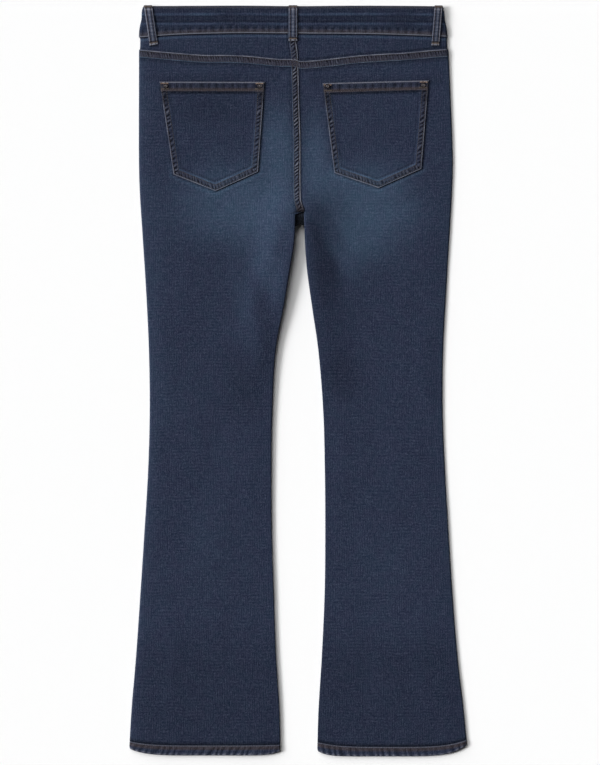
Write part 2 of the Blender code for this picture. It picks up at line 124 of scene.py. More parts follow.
def connect(colour, roughness, height=None, depth=0.0, strength=0.5):
    """Lead a varying colour, roughness and height to a material's shader."""
    varying = {"Base Color": colour, "Roughness": roughness}
    if height:
        varying["Normal"] = colour.add("ShaderNodeBump", {}, {"Strength": strength, "Distance": depth,
                                                              "Height": height})
    for name, link in varying.items():
        colour.tree.links.new(link.socket, colour.tree.nodes["Principled BSDF"].inputs[name])


def add_object(name, data):
    made = bpy.data.objects.new(name, data)
    bpy.context.collection.objects.link(made)
    return made


TABLE_CORNERS = ((-12, -12), (12, -12), (12, 12), (-12, 12))      # in metres
TABLE_LEVEL = -0.0001
table_white, place = new_material("table_white", Roughness=0.9, Specular_IOR_Level=0.1)
fleck = place.noise(900, 3)
connect(fleck.mix((0.93, 0.93, 0.93, 1), (0.95, 0.95, 0.95, 1)), 0.82 + 0.12 * fleck)
board = bpy.data.meshes.new("table")
board.from_pydata([(x, y, TABLE_LEVEL) for x, y in TABLE_CORNERS], [], [(0, 1, 2, 3)])
board.materials.append(table_white)
add_object("table", board)

# Lamps: heading of the light, strength, and width in degrees
LAMPS = {
    "window_light": ((0.86, -0.03, -0.51), 2.95, 20),
    "soft_box": ((0.58, -0.57, -0.59), 2.85, 80),
}
for name, (heading, energy, angle) in LAMPS.items():
    light = bpy.data.lights.new(name, "SUN")
    light.energy = energy
    light.angle = math.radians(angle)
    lamp = add_object(name, light)
    lamp.rotation_euler = Vector(heading).to_track_quat("-Z", "Y").to_euler()

ROOM_LIGHT = 0.04
room = bpy.data.worlds.new("room")
room.use_nodes = True
room.node_tree.nodes["Background"].inputs["Color"].default_value = (1.0, 1.0, 1.0, 1)
room.node_tree.nodes["Background"].inputs["Strength"].default_value = ROOM_LIGHT
bpy.context.scene.world = room
bpy.context.scene.view_settings.view_transform = "Standard"

VIEW_HEIGHT = 1.1016       # height of the picture on the table, in metres
CAMERA_HEIGHT = 6.0
CAMERA_SHIFT = (0.00288, -0.00216)
SENSOR = 24.0
view = bpy.data.cameras.new("camera")
view.sensor_fit = "VERTICAL"
view.sensor_height = SENSOR
view.lens = SENSOR * CAMERA_HEIGHT / VIEW_HEIGHT
camera = add_object("camera", view)
camera.location = (*CAMERA_SHIFT, CAMERA_HEIGHT)
bpy.context.scene.camera = camera


# Back leg panels. One piece of 12 oz denim a side, from the turned-up hem to the yoke, rolled over at
# the side and inseam where it joins the front. Worn pale over the seat and down the inner thighs.

DENIM = 1.2
ROLL = 2.4                 # width of the roll at a side or inseam
FELL_WIDTH = 9.0           # width of the doubled cloth at a felled seam
FELL = 1.0                 # how far a felled seam stands proud
GAP = 0.3
BACK_FACE = 4.8            # level of the back's outer face over the legs
SHOULDER = 1.4             # it sinks by this towards the side seams,
SHOULDER_AT_INSEAM = 0.2   # and by this towards the inseams,
SHOULDER_WIDTH = 9.0       # over a few of these widths
SHOULDER_AT_CROTCH = 60
SIDE_LEVEL = 1.3           # where back and front meet at the side seams
INSEAM_LEVEL = 3.7         # and at the inseams, which are stiffer
BACK_LIFT = 2.9            # what the bulk of the waist adds to the back
FRONT_LIFT = 3.5           # how far the front rises off the table towards the button
SEAM_LIFT = 2.0
LIFT_FALLS_FROM = 105      # the lifts fall from this far beside the centre towards the sides
LIFT_AT_SIDES = 0.2        # share of these lifts left at the sides
LIFT_STARTS = 330
LIFT_ENDS = 465
BACK_CROTCH = 241
FRONT_CROTCH = 224
CENTRE_FRONT = 3.0
CROTCH_BULK = 12.0         # how far the crossing seams at the crotch lift the cloth round them
BULK_HALF_WIDTH = 40
BULK_ABOVE = 38            # the lift dies away over these distances up and down the garment
BULK_BELOW = 180
BULK_AT_SEAM = 0.95        # share of the lift at the inseam, and of the front layer
BULK_OF_FRONT = 0.92
SEAT_BAND = 10.4           # felled seat seam, edge to second line
YOKE_BAND = 11.4
HEM_MEAN = -525
HEM_REACH = 120            # the rows of cloth bend with the hem up to here above it,
YOKE_ROW = 470             # and this one bends into the yoke seam
HALF_WAIST = 222
LAP_TURN = 3.7             # how far the seat seam's lap turns aside above the crotch,
LAP_LEAN = 0.7             # and how far it leans from the middle of the seat down
MID_LEG = (70, 160)        # the nearer edge is the inseam below this distance from the centre
MID_SEAT = (345, 400)      # heights between which the seat seam changes

# Side edges: height, left edge, right edge
SIDES = (
    (-541, -243.2, 243.9), (-474, -239.5, 238.1), (-387, -232.5, 228.8), (-301, -226.6, 221.9),
    (-215, -221.0, 216.6), (-128, -215.8, 211.5), (-42, -213.5, 208.1), (45, -214.7, 208.8),
    (131, -218.8, 213.3), (217, -224.3, 218.4), (272, -227.8, 221.4), (325, -229.1, 222.6),
    (450, -228.9, 217.3), (471, -228.8, 216.3), (478, -227.5, 214.9), (494.2, -227.4, 214.2),
    (494.5, -229.0, 214.8), (503, -228.6, 214.7), (512, -227.2, 212.8), (520, -225.5, 211.2),
    (530, -225.0, 210.4), (536, -223.8, 209.4), (541, -221.6, 208.8),
)
# Inner edges of the legs: height, left leg, right leg
INSEAMS = (
    (-541, -25.2, 27.6), (-474, -26.8, 29.6), (-387, -32.1, 34.7), (-301, -35.2, 38.4),
    (-215, -37.8, 39.2), (-128, -38.2, 38.6), (-42, -37.0, 36.2), (45, -32.0, 29.1),
    (110, -19.8, 19.7), (160, -11.6, 12.9), (200, -5.2, 9.9), (241, -2.9, 8.7),
)
# Centre-back seam, the edge of its upper lap, and the upper line of the yoke seam
CENTRE_BACK = (
    (241, 4.4), (265, 3.3), (290, 2.9), (350, 2.8), (395, 2.0), (440, 0.9), (470, -0.2),
    (502, -4.9),
)
YOKE_SEAM = (
    (-229, 477.0), (-184, 472.8), (-134, 469.0), (-100, 468.9), (-70, 467.4), (-30, 463.4),
    (-5, 462.7), (3, 460.3), (20, 460.9), (48, 463.7), (90, 468.4), (132, 471.1), (150, 472.1),
    (190, 475.8), (219, 478.0),
)
# Leg ends: bottom edge and stitch line, each with its rise at the side and at the inseam
HEMS = {
    "left": ((-538.9, 9.5, 6.5), (-524.5, 6.0, 1.0)),
    "right": ((-540.2, 16.0, 8.0), (-526.5, 10.0, 7.0)),
}
HEM_POWERS = ((5, 9), (4, 4))      # how abruptly each curves up at the side and at the inseam

# Creases that the laid cloth keeps: height, half width, and x and y of each point along the crease
BACK_CREASES = (
    (1.0, 13, -16, 262, -34, 205, -62, 120, -84, 40), (-0.8, 8, -8, 236, -24, 178, -44, 110),
    (0.6, 14, -60, 262, -88, 180, -96, 90), (-1.3, 12, 8, 262, 34, 222, 58, 172, 66, 110),
    (1.0, 16, 40, 262, 78, 214, 92, 160), (0.6, 9, 16, 205, 26, 150, 34, 90),
    (0.7, 7, -186, 286, -150, 262, -112, 256), (-0.5, 7, -186, 268, -140, 243, -90, 246),
    (0.5, 8, -106, 256, -66, 272, -40, 290), (0.7, 7, 60, 286, 104, 262, 140, 266),
    (0.5, 7, 110, 262, 158, 272, 184, 290), (-0.5, 8, 96, 244, 140, 246, 182, 268),
    (0.35, 9, -176, 214, -120, 206, -70, 214), (0.35, 9, 84, 232, 130, 222, 176, 232),
    (0.5, 12, -200, 120, -186, 20, -190, -80), (-0.45, 16, -120, 30, -112, -60, -122, -160),
    (0.4, 12, -66, -40, -72, -150, -60, -260), (0.5, 12, 196, 140, 180, 40, 186, -60),
    (-0.45, 16, 120, 20, 112, -90, 126, -200), (0.4, 12, 58, -20, 66, -130, 56, -250),
    (0.5, 14, -190, -300, -176, -400, -188, -500), (-0.4, 14, -96, -320, -104, -420, -92, -510),
    (-0.4, 14, 92, -300, 102, -410, 90, -510), (0.5, 14, 186, -290, 176, -400, 190, -500),
    (0.3, 8, -150, 420, -120, 452, -60, 458), (0.3, 8, 60, 452, 120, 462, 180, 456),
)
FRONT_CREASES = (
    (0.7, 8, -10, 214, -50, 236, -120, 262), (0.6, 9, -14, 190, -60, 176, -130, 190),
    (0.7, 8, 16, 214, 56, 234, 124, 258), (0.6, 9, 18, 190, 64, 178, 134, 188),
    (0.5, 10, -60, -20, -120, -36, -180, -24), (0.5, 10, 60, -24, 120, -40, 176, -26),
    (0.5, 14, -130, -120, -122, -260, -134, -420), (0.5, 14, 128, -120, 120, -260, 132, -420),
)


def ramp(low, high, value):
    """Rise softly from 0 to 1 between two values."""
    t = np.clip((value - low) / (high - low), 0, 1)
    return t * t * (3 - 2 * t)


def bell(value, middle, width):
    """A soft bump of height 1."""
    return np.exp(-((value - middle) / width) ** 2)


def rounded(distance, radius):
    """Drop of a rounded edge: 1 at the edge itself, nothing from a radius inwards."""
    return 1 - np.sqrt(1 - (1 - np.clip(distance / radius, 0, 1)) ** 2)


def read(table, key, side="left"):
    """Read a table at a key, on a smooth curve through its rows. The right leg's values come last."""
    keys = np.array([row[0] for row in table], float)
    values = np.array([row[1 if side == "left" else 2] for row in table], float)
    wide = np.pad([keys, values], ((0, 0), (1, 1)), "edge")
    rises = wide[:, 2:] - wide[:, :-2]
    slopes = rises[1] / rises[0]
    key = np.clip(np.asarray(key, float), keys[0], keys[-1])
    i = np.clip(np.searchsorted(keys, key, side="right") - 1, 0, len(keys) - 2)
    span = keys[i + 1] - keys[i]
    t = (key - keys[i]) / span
    start = (1 + 2 * t) * (1 - t) ** 2 * values[i] + t * (1 - t) ** 2 * span * slopes[i]
    return start + t * t * (3 - 2 * t) * values[i + 1] - t * t * (1 - t) * span * slopes[i + 1]


def near_line(points, x, y):
    """Distance to a line through points, and the share of its length at the nearest place."""
    runs = np.linalg.norm(np.diff(points, axis=0), axis=1)
    far = np.full(np.shape(x), np.inf)
    share = np.zeros(np.shape(x))
    done = 0.0
    for start, end, run in zip(points[:-1], points[1:], runs):
        ahead = (end - start) / run
        t = np.clip((x - start[0]) * ahead[0] + (y - start[1]) * ahead[1], 0, run)
        away = np.hypot(x - start[0] - t * ahead[0], y - start[1] - t * ahead[1])
        share = np.where(away < far, (done + t) / runs.sum(), share)
        far = np.minimum(far, away)
        done += run
    return far, share


def relief(layer, x, y):
    """Height of the creases and of the cloth's slight unevenness at any point."""
    fine = np.sin(x / 17 + 1.3 * np.sin(y / 61)) * np.sin(y / 33 + 0.9 * np.sin(x / 41))
    broad = np.sin(x / 26 + 0.8 * np.sin(y / 90) + 0.7) * np.sin(y / 74 + 1.1 * np.sin(x / 55))
    height = 0.16 * fine + 0.30 * broad
    for rise, width, *line in BACK_CREASES if layer > 0 else FRONT_CREASES:
        away, share = near_line(np.reshape(line, (-1, 2)), x, y)
        height = height + rise * np.sin(math.pi * share) ** 0.8 * bell(away, 0, width)
    return height if layer > 0 else np.maximum(height, 0)


def lift(x, y):
    """Share of the waist's bulk that is felt at a point."""
    aside = ramp(LIFT_FALLS_FROM, HALF_WAIST, np.abs(x - CENTRE_FRONT))
    return ramp(LIFT_STARTS, LIFT_ENDS, y) * (1 - (1 - LIFT_AT_SIDES) * aside)


def from_sides(x, y):
    """Distance in from the nearer side edge."""
    return np.minimum(x - read(SIDES, y), read(SIDES, y, "right") - x)


def from_inseams(x, y):
    """Distance from the nearer inseam into its leg."""
    return np.maximum(np.maximum(read(INSEAMS, y) - x, x - read(INSEAMS, y, "right")), 0)


def bulk(x, y):
    """How far the crossing seams at the crotch lift the cloth beside the seat seam and the inseams."""
    reach = np.where(y > BACK_CROTCH, BULK_ABOVE, BULK_BELOW)
    return CROTCH_BULK * bell(from_inseams(x, y), 0, BULK_HALF_WIDTH) * bell(y, BACK_CROTCH, reach)


def cloth_level(layer, x, y):
    """Level of a layer's outer face, creases included: layer 1 is the back, -1 the front."""
    if layer > 0:
        at_side = SHOULDER * np.exp(-np.maximum(from_sides(x, y), 0) / SHOULDER_WIDTH)
        on_leg = ramp(0, SHOULDER_AT_CROTCH, BACK_CROTCH - y)
        at_inseam = SHOULDER_AT_INSEAM * on_leg * np.exp(-from_inseams(x, y) / SHOULDER_WIDTH)
        return BACK_FACE + BACK_LIFT * lift(x, y) + bulk(x, y) - at_side - at_inseam + relief(1, x, y)
    from_centre = ramp(FELL_WIDTH, 4 * FELL_WIDTH, np.abs(x - CENTRE_FRONT))
    over_fell = FELL * (1 - from_centre) * ramp(FRONT_CROTCH - 100, FRONT_CROTCH, y)
    return FRONT_LIFT * lift(x, y) + over_fell + BULK_OF_FRONT * bulk(x, y) + relief(-1, x, y)


def seam_level(layer, x, y):
    """Level at which the back and the front meet at the nearest edge of a leg."""
    outwards = ramp(*MID_LEG, np.abs(x - CENTRE_FRONT))
    level = INSEAM_LEVEL + (SIDE_LEVEL - INSEAM_LEVEL) * outwards
    return level + SEAM_LIFT * lift(x, y) + BULK_AT_SEAM * bulk(x, y) + layer * GAP / 2


def on_cloth(layer, x, y, proud):
    """Level of something that stands proud of the cloth, rolled down with it at the sides."""
    seam = seam_level(layer, x, y)
    top = cloth_level(layer, x, y) + layer * proud
    return seam + (top - seam) * (1 - rounded(from_sides(x, y), ROLL))


def hem_curve(side, x, row):
    """Height of a leg-end line: level in the middle, curving up to both edges."""
    middle, at_side, at_inseam = HEMS[side][row]
    edge = read(SIDES, HEM_MEAN, side)
    t = np.clip((x - edge) / (read(INSEAMS, HEM_MEAN, side) - edge), 0, 1)
    side_power, inseam_power = HEM_POWERS[row]
    from_middle = np.abs(2 * t - 1)
    return middle + np.where(t < 0.5, at_side * from_middle ** side_power,
                             at_inseam * from_middle ** inseam_power)


def hem_pull(side, base, x):
    """How far a row of cloth near the leg end moves to run beside the hem."""
    return (1 - ramp(HEM_MEAN, HEM_MEAN + HEM_REACH, base)) * (hem_curve(side, x, 1) + GAP - HEM_MEAN)


def lap_edge(y):
    """Edge of the centre-back seam's upper lap, which turns aside just above the crotch."""
    turn = LAP_TURN * (1 - ramp(BACK_CROTCH + 2, BACK_CROTCH + 21, y))
    return read(CENTRE_BACK, y) + turn + LAP_LEAN * (1 - ramp(*MID_SEAT, y))


def in_order(side, outer, inner):
    """The value for the side seam's end of a row and the one for its other end, from left to right."""
    return (outer, inner) if side == "left" else (inner, outer)


# Paler and darker places of the back: middle, half width, half height, turn in degrees, strength.
# The pale streak on the left thigh at (-52, 182) and the dark place on the right thigh at (46, 222)
# are partly wear and partly painted light and painted shade of the slopes beside the crotch.
PALE = (
    (-88, 254, 84, 56, 0, 0.83), (-52, 182, 25, 68, 18, 0.42), (-76, 110, 16, 60, 14, 0.22),
    (-29, 330, 27, 62, 0, 0.90), (25, 318, 19, 62, 0, 0.85), (102, 252, 68, 58, 0, 0.95),
    (86, 212, 38, 46, 20, 0.75), (60, 200, 20, 60, 26, 0.40), (50, 286, 30, 26, 0, 0.75),
    (-206, 180, 16, 120, 0, 0.12), (-132, -220, 26, 80, 0, 0.10), (120, -280, 34, 70, 0, 0.08),
    (-180, -20, 26, 60, 0, 0.08),
)
DARK = (
    (46, 222, 11, 56, 33, 0.36), (24, 214, 10, 22, 20, 0.25), (-48, 92, 16, 50, 8, 0.30),
    (-46, 30, 14, 30, 0, 0.24), (-124, 400, 66, 34, 0, 0.20), (-76, -8, 34, 50, 0, 0.26),
    (62, 6, 26, 34, 0, 0.26), (40, 150, 20, 40, 0, 0.14),
)


def spots(x, y, places):
    """How strongly each of the pale or dark places is felt at a point."""
    for middle_x, middle_y, half_x, half_y, turn, strength in places:
        turn = math.radians(turn)
        over = ((x - middle_x) * math.cos(turn) + (y - middle_y) * math.sin(turn)) / half_x
        along = ((y - middle_y) * math.cos(turn) - (x - middle_x) * math.sin(turn)) / half_y
        yield strength * np.exp(-(over ** 2 + along ** 2) ** 1.5)


def fade_and_painted_light(layer, x, y):
    """How pale the cloth is worn, with painted light along its side edges and beside the crotch: 0 for plain
    dark cloth, 1 for the palest of the seat.
    """
    if layer < 0:
        pale = 0.7 * bell(np.abs(x - CENTRE_FRONT), 112, 60) * bell(y, 120, 170)
        return pale - 0.2 * ramp(-330, -420, y)
    kept = np.ones(np.shape(x))
    for pale in spots(x, y, PALE):
        kept = kept * (1 - pale)
    left_edge = np.clip(x - read(SIDES, y), 0, 60)
    right_edge = np.clip(read(SIDES, y, "right") - x, 0, 60)
    # Paler along the side edges: partly wear of the rolled edges, partly painted light on the rolls
    edges = 0.24 * np.exp(-left_edge / 9) + 0.30 * np.exp(-right_edge / 6)
    return 1 - kept - sum(spots(x, y, DARK)) + edges - 0.22 * ramp(-330, -420, y)


def finish_piece(name, shaded_end, points, faces, values, material, sharp):
    """Make a piece with values on its points, its shading sharp past an angle, riding on the garment."""
    mesh = bpy.data.meshes.new(name)
    mesh.from_pydata((np.array(points) * MM).tolist(), [], faces)
    for key, value in values.items():
        mesh.attributes.new(key, "FLOAT", "POINT").data.foreach_set("value", value.astype(np.float32))
    mesh.shade_smooth()
    mesh.set_sharp_from_angle(angle=math.radians(sharp))
    mesh.materials.append(material)
    piece = add_object(name + shaded_end, mesh)
    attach(piece, "root")
    return piece


def cloth_mesh(name, x, y, outer, inner, layer, look, material, inner_x=None):
    """Close a wall of cloth between two levels over a grid, and keep its look on its points."""
    rows, columns = outer.shape
    number = np.arange(rows * columns).reshape(rows, columns)
    first = number[:-1, :-1].ravel()
    quads = np.stack([first, first + 1, first + columns + 1, first + columns], axis=1)
    rim = np.concatenate([number[0, :-1], number[:-1, -1], number[-1, :0:-1], number[:0:-1, 0]])
    after = np.roll(rim, -1)
    under = rows * columns
    walls = np.stack([rim + under, after + under, after, rim], axis=1)
    faces = np.concatenate([quads, quads[:, ::-1] + under, walls])
    inner_x = x if inner_x is None else inner_x
    walls_of = (np.stack([x, y, outer], axis=2), np.stack([inner_x, y, inner], axis=2))
    points = np.concatenate([wall.reshape(-1, 3) for wall in walls_of])
    points[:, 2] = np.maximum(points[:, 2], 0)      # the table has pressed flat what lies on it
    values = {key: np.tile(np.broadcast_to(look.get(key, 0.0), (rows, columns)).ravel(), 2)
              for key in ("fade", "wear", "shade", "tan")}
    values["inside"] = np.repeat([0.0, 1.0], under)
    faces = faces if layer > 0 else faces[:, ::-1]
    return finish_piece(name, "_cloth", points, faces.tolist(), values, material, sharp=50)


def across(left, right, roll_left, roll_right, columns):
    """Stations from edge to edge: outer x, inner x and share of the height, edges rolled down."""
    turn = np.radians(np.linspace(0, 90, 9))
    run = 1 - np.cos(turn)

    def edge(at, inwards, roll):
        outer = at[:, None] + inwards * ROLL * run
        rolled = at[:, None] + inwards * (DENIM + (ROLL - DENIM) * run)
        return outer, outer + roll[:, None] * (rolled - outer), 1 - roll[:, None] * (1 - np.sin(turn))

    t = np.linspace(0, 1, columns + 2)[1:-1]
    middle = (left + ROLL)[:, None] + (right - left - 2 * ROLL)[:, None] * t
    flat = (middle, middle, np.ones(middle.shape))
    parts = zip(edge(left, 1, roll_left), flat, edge(right, -1, roll_right))
    return [np.concatenate([a, b, c[:, ::-1]], axis=1) for a, b, c in parts]


def lay_cloth(name, layer, bases, y_at, edges, rolls, wall, columns, material, look, proud=0.0):
    """Lay a piece of the back (layer 1) or the front (layer -1) along its rows, over its solid."""
    ends = [np.broadcast_to(end, bases.shape).astype(float) for end in (*edges, *rolls)]
    x, inner_x, share = across(*ends, columns)
    y = y_at(bases[:, None], x)
    # Paler along the rolled side edges: partly wear, partly painted light on the rolls
    worn = 0.13 * np.exp(-np.maximum(from_sides(x, y), 0) / 3)
    seen = {"fade": fade_and_painted_light(layer, x, y), "wear": worn, "raised": 0, **look(x, y)}
    seam = seam_level(layer, x, y)
    level = cloth_level(layer, x, y) + layer * proud
    outer = seam + (level + layer * seen["raised"] - seam) * share
    inner = seam + (level - layer * wall - seam) * share
    piece = cloth_mesh(name, x, y, outer, inner, layer, seen, material, inner_x)
    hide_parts(name)
    return piece


def denim_material(name):
    """Indigo twill: a dark or faded ground and a worn nap, both carrying painted light in places, white weft
    flecks, thread tint and dark ditches of unrubbed dye and painted shade.
    """
    material, place = new_material(name, Roughness=0.86, Specular_IOR_Level=0.06)
    fade, wear, shade, tan, inside = (
        place.add("ShaderNodeAttribute", {"attribute_name": key}, {}, 2)
        for key in ("fade", "wear", "shade", "tan", "inside"))
    grain = place.noise(720, 1, 0.6)
    warp = place.noise(620, 1, 0.5, (1, 0.2, 1))
    sway = place.noise(46, 1)
    thick_yarns = place.noise(88, 1).rise(0.38, 0.56)
    x, y = (place.add("ShaderNodeSeparateXYZ", {}, {0: place}, axis) for axis in (0, 1))
    warp_ribs = place.sum("SINE", 1900 * x + 7 * sway)
    weft_ribs = place.sum("SINE", 1340 * y + 8 * sway)
    ribs = thick_yarns * warp_ribs + (1 - thick_yarns) * weft_ribs
    twill = place.waves((5600.0, -3900.0, 0.0))
    level = fade + 0.26 * (place.noise(24, 3, 0.6) - 0.5)
    colour = place.sum("MAXIMUM", level).mix((0.0216, 0.0291, 0.0550, 1), (0.0378, 0.0605, 0.1020, 1))
    colour.socket.node.clamp_factor = False
    hue = place.noise(70, 2, 0.6).rise(0.35, 0.65).mix((1.03, 0.98, 1.0, 1), (0.97, 1.015, 1.0, 1))
    colour = place.vector("MULTIPLY", colour, hue)
    ragged = (wear + 0.7 * wear * (grain - 0.5)).rise(0.0, 1.0)
    colour = ragged.mix(colour, (0.180, 0.187, 0.228, 1))
    colour = (tan * (0.7 + 0.6 * grain)).mix(colour, (0.058, 0.043, 0.040, 1))
    colour = (inside * 0.5).mix(colour, (0.050, 0.058, 0.075, 1))
    dark = (1 - shade) * (1 + 0.75 * place.sum("MINIMUM", level))
    fleck = 1.25 * (grain - 0.5) + 0.55 * (warp - 0.5) + 0.105 * ribs + 0.05 * twill
    fleck = fleck * (1 + 0.9 * fleck) * (1 - 0.6 * shade) * (0.9 + 0.36 * fade)
    white = place.vector("MULTIPLY", (0.050, 0.056, 0.080), fleck)
    colour = place.vector("ADD", place.vector("MULTIPLY", colour, dark), white)
    colour = place.vector("MAXIMUM", colour, (0.003, 0.004, 0.006))
    height = 0.5 * grain + 0.25 * warp + 0.12 * twill + 0.1 * ribs
    connect(colour, 0.80 + 0.16 * grain, height, 0.0004)
    return material


leg_denim = denim_material("leg_denim")


def ditch_dye_and_shade(distance, depth, reach):
    """Cloth darker beside a sewn edge: partly dye kept where nothing rubs it, partly painted shade in the
    ditch.
    """
    return depth * ramp(reach, 0.6, distance)


# Back pocket corners, clockwise from the top left
POCKETS = {
    "left": ((-199.1, 430.6), (-48.2, 430.2), (-57.5, 300.9), (-118.8, 273.1), (-179.1, 296.9)),
    "right": ((35.5, 428.3), (188.0, 432.5), (177.6, 305.2), (115.6, 277.4), (52.1, 299.1)),
}


def pocket_edges(side, x, y):
    """Distances inside each edge of a back pocket, from its top edge round clockwise."""
    corners = POCKETS[side]
    return [((x - a[0]) * (b[1] - a[1]) - (y - a[1]) * (b[0] - a[0])) / math.dist(a, b)
            for a, b in zip(corners, corners[1:] + corners[:1])]


def beside_seat_seam(side, x, y):
    """Distance from the seat seam's band, which lies on the left panel."""
    return np.abs(x - lap_edge(y) if side == "right" else lap_edge(y) - SEAT_BAND - x)


LEG_ROWS = 256
SEAT_ROWS = 78


def back_panel(side):
    leg_rows = np.linspace(HEM_MEAN, BACK_CROTCH - 2, LEG_ROWS)
    bases = np.concatenate([leg_rows, np.linspace(BACK_CROTCH + 2, YOKE_ROW, SEAT_ROWS)])

    def y_at(base, x):
        high = ramp(LIFT_STARTS, YOKE_ROW - 10, base) * (read(YOKE_SEAM, x) - YOKE_ROW - GAP)
        return base + hem_pull(side, base, x) + high

    def look(x, y):
        pocket = -np.minimum.reduce(pocket_edges(side, x, y))
        above_pocket = y - POCKETS[side][0][1]
        fell = np.where(y > BACK_CROTCH + 2, beside_seat_seam(side, x, y), math.inf)
        # Darker beside the pocket, below the yoke band, beside the seat seam and above the hem, partly
        # unrubbed dye and partly painted shade; the last two terms are painted shadow round the seat seam's
        # end at the crotch.
        shade = np.maximum.reduce([
            ditch_dye_and_shade(np.abs(pocket), 0.34, 2.0),
            0.5 * bell(read(YOKE_SEAM, x) - YOKE_BAND - y, 2.0, 1.7),
            ditch_dye_and_shade(fell, 0.3, 3.2 + 1.6 * ramp(360, 400, y)),
            ditch_dye_and_shade(y - hem_curve(side, x, 1), 0.72, 6.0),
            0.75 * ramp(258, 246, y) * ramp(3.2, 1.0, fell),
            0.85 * ramp(-6.5, -3.0, x) * ramp(249, 244, y) * (side == "left"),
        ])
        halo = 0.75 * bell(pocket, 3.9, 1.8) * ramp(325, 292, y)
        shaded = 0.16 * ramp(-2, 2, above_pocket) * ramp(16, 6, above_pocket) * (pocket < 20)
        return {"shade": shade, "fade": fade_and_painted_light(1, x, y) + halo - shaded}

    above = bases > BACK_CROTCH
    seam = lap_edge(bases) + (GAP if side == "right" else 0)
    edges = in_order(side, read(SIDES, bases, side), np.where(above, seam, read(INSEAMS, bases, side)))
    rolls = in_order(side, 1, np.where(above, 0, 1))
    return lay_cloth("back_panel_" + side, 1, bases, y_at, edges, rolls, DENIM, 62, leg_denim, look)


back_panels = {side: back_panel(side) for side in ("left", "right")}


# Seat seam and yoke seams. Felled seams: the edges are turned in, lapped and held by two rows of
# stitches, and the doubled cloth between the rows has shrunk into slanting ridges like a rope.

EDGE_STATIONS = np.array((0, 0.12, 0.35, 0.7, 1.1, 1.5, 2.0, 2.6))
FIRST_ROW = 2.1            # from a felled seam's worn edge in to its first row of stitches
SECOND_ROW = 1.5           # and from its other edge in to the second
SEAT_TOP = 461             # the yoke seams cross the seat seam here

# Upper edge of the back waistband, and the seam where it meets the yokes: x, height
WAIST_TOP = (
    (-222, 539.5), (-140, 539.6), (-80, 539.8), (0, 539.1), (80, 539.7), (140, 539.6),
    (222, 539.0),
)
WAIST_SEAM = (
    (-222, 494.5), (-210, 495.5), (-195, 496.7), (-175, 497.9), (-150, 498.8), (-120, 499.5),
    (-80, 500.1), (-40, 499.9), (0, 499.6), (20, 499.3), (90, 498.9), (130, 498.1), (160, 497.2),
    (190, 496.2), (210, 495.3), (222, 494.5),
)

# Layer, middle of the upper end, middle of the lower end, width, how far it reaches below the
# waistband, slope of its lower end, seam under the lower end, how worn its left and right edges are,
# and how deep the painted shade on the cloth at its left is
LOOPS = {
    "belt_loop_back_left": (1, -215.9, -207.4, 12.2, 12.3, 0.2, 0, 0.80, 0.60, 0),
    "belt_loop_back_centre": (1, -7.2, -7.2, 12.5, 10.7, 0, FELL, 0.50, 0.66, 0.5),
    "belt_loop_back_right": (1, 202.3, 197.6, 11.4, 13.3, 0, 0, 0.60, 0.95, 0.4),
    "belt_loop_front_left": (-1, -96.0, -98.0, 13.0, 11.5, 0, 0, 0.4, 0.4, 0),
    "belt_loop_front_right": (-1, 98.0, 100.0, 13.0, 11.5, 0, 0, 0.4, 0.4, 0),
}


def painted_shade_by_loops(x, y):
    """Painted shade on the cloth at the left of the belt loops and below their lower ends."""
    dark = np.zeros(np.shape(x))
    for layer, x_top, x_bottom, width, below, *_, painted_shade_at_left in LOOPS.values():
        if layer > 0:
            low = read(WAIST_SEAM, x_bottom) - below
            middle = x_bottom + (x_top - x_bottom) * (y - low) / (read(WAIST_TOP, x_top) - low)
            out = middle - width / 2 - x
            outside = np.abs(x - middle) - width / 2
            left = ramp(3.6, 0.8, out) * ramp(-1, 0, out) * ramp(-1, 1, y - low)
            under = ramp(4.5, 1.5, low - y) * ramp(-1, 0, low - y) * ramp(2, 0, outside)
            dark = np.maximum.reduce([dark, painted_shade_at_left * left, 0.5 * under])
    return dark


def stations(start, end, length, count):
    """Stations along a length, close together towards both ends."""
    start, end = np.array(start), np.array(end)
    middle = np.linspace(start[-1], length - end[-1], count)[1:-1]
    return np.concatenate([start, middle, length - end[::-1]])


def wander(s, seed):
    """A slow irregular curve along a seam, between about -1 and 1."""
    slow = 0.8 * np.sin(0.83 * s + 2.3 * seed)
    return (np.sin(1.7 * s + seed) + slow + 0.7 * np.sin(3.1 * s + 5 * seed)) / 2.5


def ripple(s, pitch, stray, seed, slant=0):
    """Uneven waves at a pitch along a seam, from -1 to 1."""
    return np.cos(2 * math.pi * ((s + slant) / pitch + stray * wander(s / pitch, seed)))


